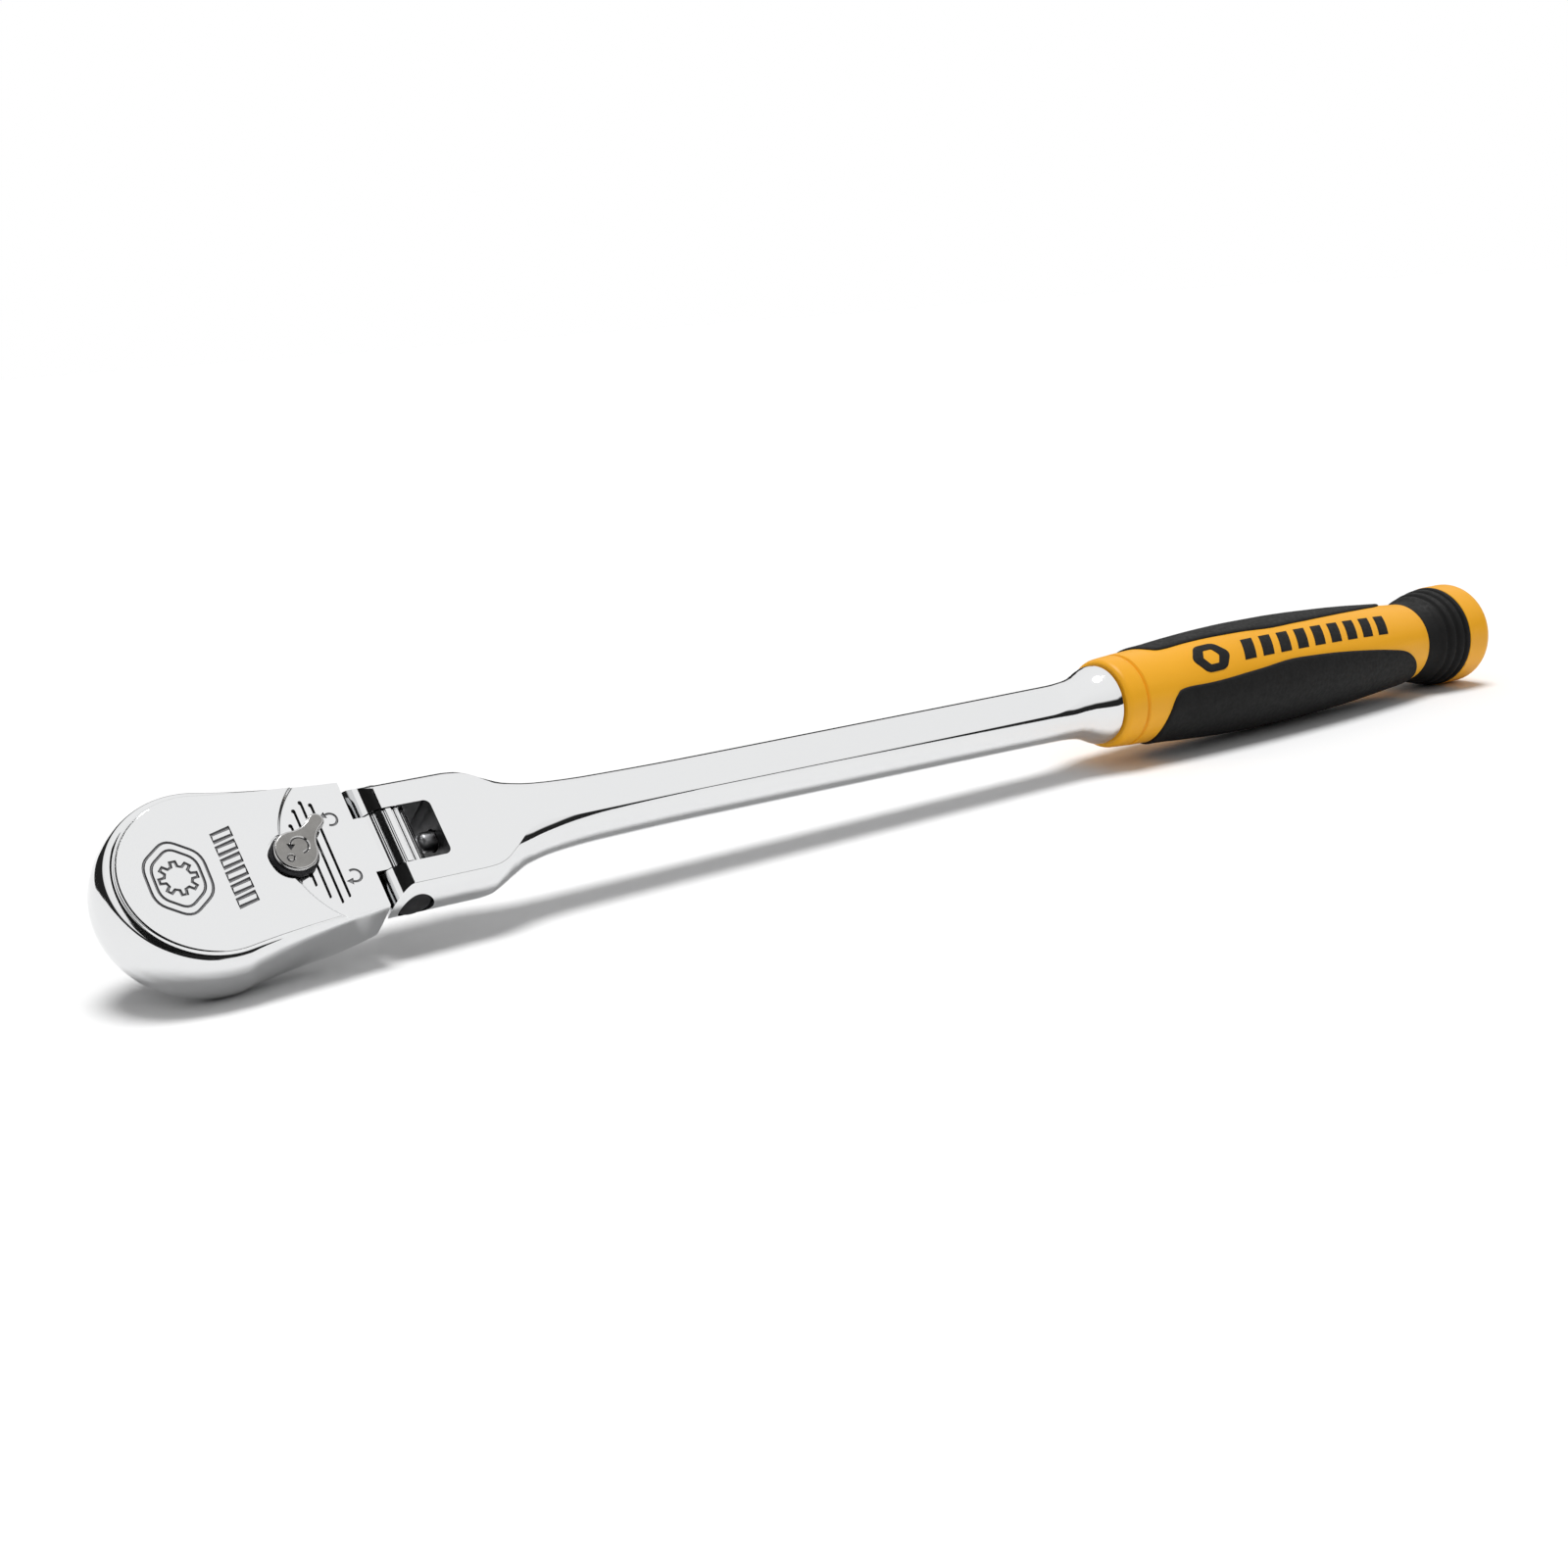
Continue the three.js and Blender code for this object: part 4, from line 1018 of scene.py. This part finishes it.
def build_band_marks():
    """Generic marks on the orange band: a row of slanted bars and a hexagon badge."""
    bars, lift = 9, 0.14
    start, pitch, width, slant, reach = 202.6, 5.75, 3.5, 1.9, 2.55
    marks = []
    for i in range(bars):
        left = start + i * pitch

        def bar(u, v, left=left):
            return left + width * u + slant * (v - 0.5), reach * (2 * v - 1)
        marks.append(grip_patch(bar, 8, 10, lift))
    row = merged("bars", marks)
    polish(row, angle=40)
    finish_piece(row, "band_bars", "handle", RUBBER)

    centre, stretch = 192.8, 1.12
    outer = rounded_polygon((0, 0), 5.0, 6, 0, 0.28, 0.82, 6)
    inner = rounded_polygon((0, 0), 2.1, 6, 0, 0.12, 1.0, 6)
    rings = []
    for share, height in ((0, -0.4), (0, lift / 2), (0.06, lift), (0.35, lift), (0.65, lift),
                          (0.94, lift), (1, lift / 2), (1, -0.4)):
        ring = []
        for a, b in zip(outer, inner):
            p = Vector(a).lerp(Vector(b), share)
            x = centre + p.x * stretch
            ring.append(on_grip(x, p.y / sleeve_radius(x), height))
        rings.append(ring)
    badge = skin("badge", rings, closed=True)
    polish(badge, angle=40)
    finish_piece(badge, "band_badge", "handle", RUBBER)


# ---- CAD pieces that keep their own shape ---------------------------------------------------

def paint_nodes():
    finishes = {
        "gear_washer": SPRING_STEEL, "detent_spring": SPRING_STEEL, "upper_pawl": DRIVE_STEEL,
        "lower_pawl": DRIVE_STEEL, "lever_seal_ring": RUBBER, "upper_pawl_plunger": SPRING_STEEL,
        "lower_pawl_plunger": SPRING_STEEL, "upper_plunger_spring": SPRING_STEEL,
        "lower_plunger_spring": SPRING_STEEL, "flex_spring": SPRING_STEEL,
    }
    for node, made in finishes.items():
        obj = frame["nodes"][node]
        obj.data.materials.clear()
        obj.data.materials.append(made)


# ---- Studio ---------------------------------------------------------------------------------

# Brightness of the walls, the ceiling and the dark strip, and the share given as fill light
WALL_LEVEL = 0.97
CEILING_LEVEL = 1.05
STRIP_LEVEL = 0.02
FILL_SHARE = 0.38

# The strip's upper edge above the floor, as the sine of its height seen from the tool
STRIP_TOP = math.sin(math.radians(17))
STRIP_SOFTNESS = 0.05
FLAG_HEIGHT = 420
SUN_ENERGY = 2.4
SUN_ANGLE = math.radians(26)


def floor_plane():
    """The tool lies rolled on its side: its drive square, head and end cap touch the floor."""
    tang_foot = Vector((2.0, -SQUARE_HALF, 0))
    head_foot = Vector((2.3, -15.15, 11.4))
    cap_foot = Vector((CAP_HIGH.x - 2, -8.4, 12.0))
    normal = (cap_foot - tang_foot).cross(head_foot - tang_foot)
    normal.normalize()
    return tang_foot, normal if normal.z > 0 else -normal


def build_floor():
    """A large pale sheet, seen only from above."""
    foot, normal = floor_plane()
    size = 6000
    tilt = Vector((0, 0, 1)).rotation_difference(normal).to_matrix().to_4x4()
    turn = Matrix.Translation(foot) @ tilt
    corners = [(-size, -size), (size, -size), (size, size), (-size, size)]
    floor = make_object("floor", [turn @ Vector((x, y, 0)) for x, y in corners], [(0, 1, 2, 3)])
    paper = material("paper", (0.92, 0.92, 0.92), 0.9, Specular_IOR_Level=0.1)
    nodes, links = paper.node_tree.nodes, paper.node_tree.links
    side = nodes.new("ShaderNodeNewGeometry")
    clear = nodes.new("ShaderNodeBsdfTransparent")
    choose = nodes.new("ShaderNodeMixShader")
    links.new(side.outputs["Backfacing"], choose.inputs["Fac"])
    links.new(nodes["Principled BSDF"].outputs["BSDF"], choose.inputs[1])
    links.new(clear.outputs["BSDF"], choose.inputs[2])
    links.new(choose.outputs["Shader"], nodes["Material Output"].inputs["Surface"])
    floor.data.materials.append(paper)
    if floor.data.polygons[0].normal.dot(normal) < 0:
        floor.data.flip_normals()


def build_world():
    """White walls and ceiling over a dark strip at floor level, weaker as a fill light."""
    world = bpy.data.worlds.new("studio")
    bpy.context.scene.world = world
    world.use_nodes = True
    nodes, links = world.node_tree.nodes, world.node_tree.links

    def closeness(direction, start, end):
        """0 to 1 as a ray's dot product with the direction goes from start to end."""
        dot = nodes.new("ShaderNodeVectorMath")
        dot.operation = "DOT_PRODUCT"
        dot.inputs[1].default_value = direction
        links.new(spot.outputs["Generated"], dot.inputs[0])
        spread = nodes.new("ShaderNodeMapRange")
        spread.interpolation_type = "SMOOTHSTEP"
        spread.inputs["From Min"].default_value = start
        spread.inputs["From Max"].default_value = end
        links.new(dot.outputs["Value"], spread.inputs["Value"])
        return spread.outputs["Result"]

    def mixed(share, first, second):
        mix = nodes.new("ShaderNodeMix")
        links.new(share, mix.inputs["Factor"])
        for socket, value in ((mix.inputs["A"], first), (mix.inputs["B"], second)):
            if isinstance(value, (int, float)):
                socket.default_value = value
            else:
                links.new(value, socket)
        return mix.outputs["Result"]

    spot = nodes.new("ShaderNodeTexCoord")
    up = floor_plane()[1]
    wall = mixed(closeness(up, 0.2, 0.9), WALL_LEVEL, CEILING_LEVEL)
    above_strip = closeness(up, STRIP_TOP - STRIP_SOFTNESS, STRIP_TOP + STRIP_SOFTNESS)
    strip = mixed(above_strip, STRIP_LEVEL, wall)
    rays = nodes.new("ShaderNodeLightPath")
    fill = nodes.new("ShaderNodeMath")
    fill.operation = "MULTIPLY"
    fill.inputs[1].default_value = FILL_SHARE
    links.new(strip, fill.inputs[0])
    level = mixed(rays.outputs["Is Diffuse Ray"], strip, fill.outputs["Value"])
    shown = mixed(rays.outputs["Is Camera Ray"], level, 1.0)
    links.new(shown, nodes["Background"].inputs["Color"])


def build_flag():
    """A black cloth over the head, between the two side walls, seen only in reflections."""
    corners = [(-410, -250), (90, -250), (90, 1000), (-410, 1000)]
    flag = make_object("flag", [(x, y, FLAG_HEIGHT) for x, y in corners], [(0, 1, 2, 3)])
    flag.data.materials.append(
        material("black_cloth", (0.01, 0.01, 0.01), 1.0, Specular_IOR_Level=0.0))
    flag.visible_camera = False
    flag.visible_diffuse = False
    flag.visible_shadow = False


def build_studio():
    build_floor()
    build_world()
    build_flag()
    overhead = bpy.data.lights.new("overhead", "SUN")
    overhead.angle = SUN_ANGLE
    overhead.energy = SUN_ENERGY
    lamp = bpy.data.objects.new("overhead", overhead)
    lamp.rotation_euler = floor_plane()[1].to_track_quat("Z", "Y").to_euler()
    bpy.context.scene.collection.objects.link(lamp)
    scene = bpy.context.scene
    scene.view_settings.view_transform = "Standard"
    scene.view_settings.look = "None"


def build_camera():
    """A long view from over the nose, rolled as if the tool lay on its side."""
    data = bpy.data.cameras.new("camera")
    data.lens = 49.5
    data.sensor_width = 36
    data.clip_start = 0.01
    data.clip_end = 50
    camera = bpy.data.objects.new("camera", data)
    right = Vector((0.80381, -0.43877, 0.40171))
    back = Vector((-0.57035, -0.37645, 0.73006))
    up = back.cross(right)
    turn = Matrix((right, up, back)).transposed().to_4x4()
    place = Vector((PIN.x - 152.91, -157.86, AXIS_Z + 299.86)) * MM
    camera.matrix_world = Matrix.Translation(place) @ turn
    bpy.context.scene.collection.objects.link(camera)
    bpy.context.scene.camera = camera


build_camera()
build_studio()
build_head()
build_cover()
build_retaining_ring()
build_drive()
build_ball()
build_lever()
build_bar()
build_pin()
build_flex_plunger()
build_sleeve()
build_pad(1, "pad_left", "grip_pad_left")
build_pad(-1, "pad_right", "grip_pad_right")
build_neck()
build_cap()
build_band_marks()
paint_nodes()
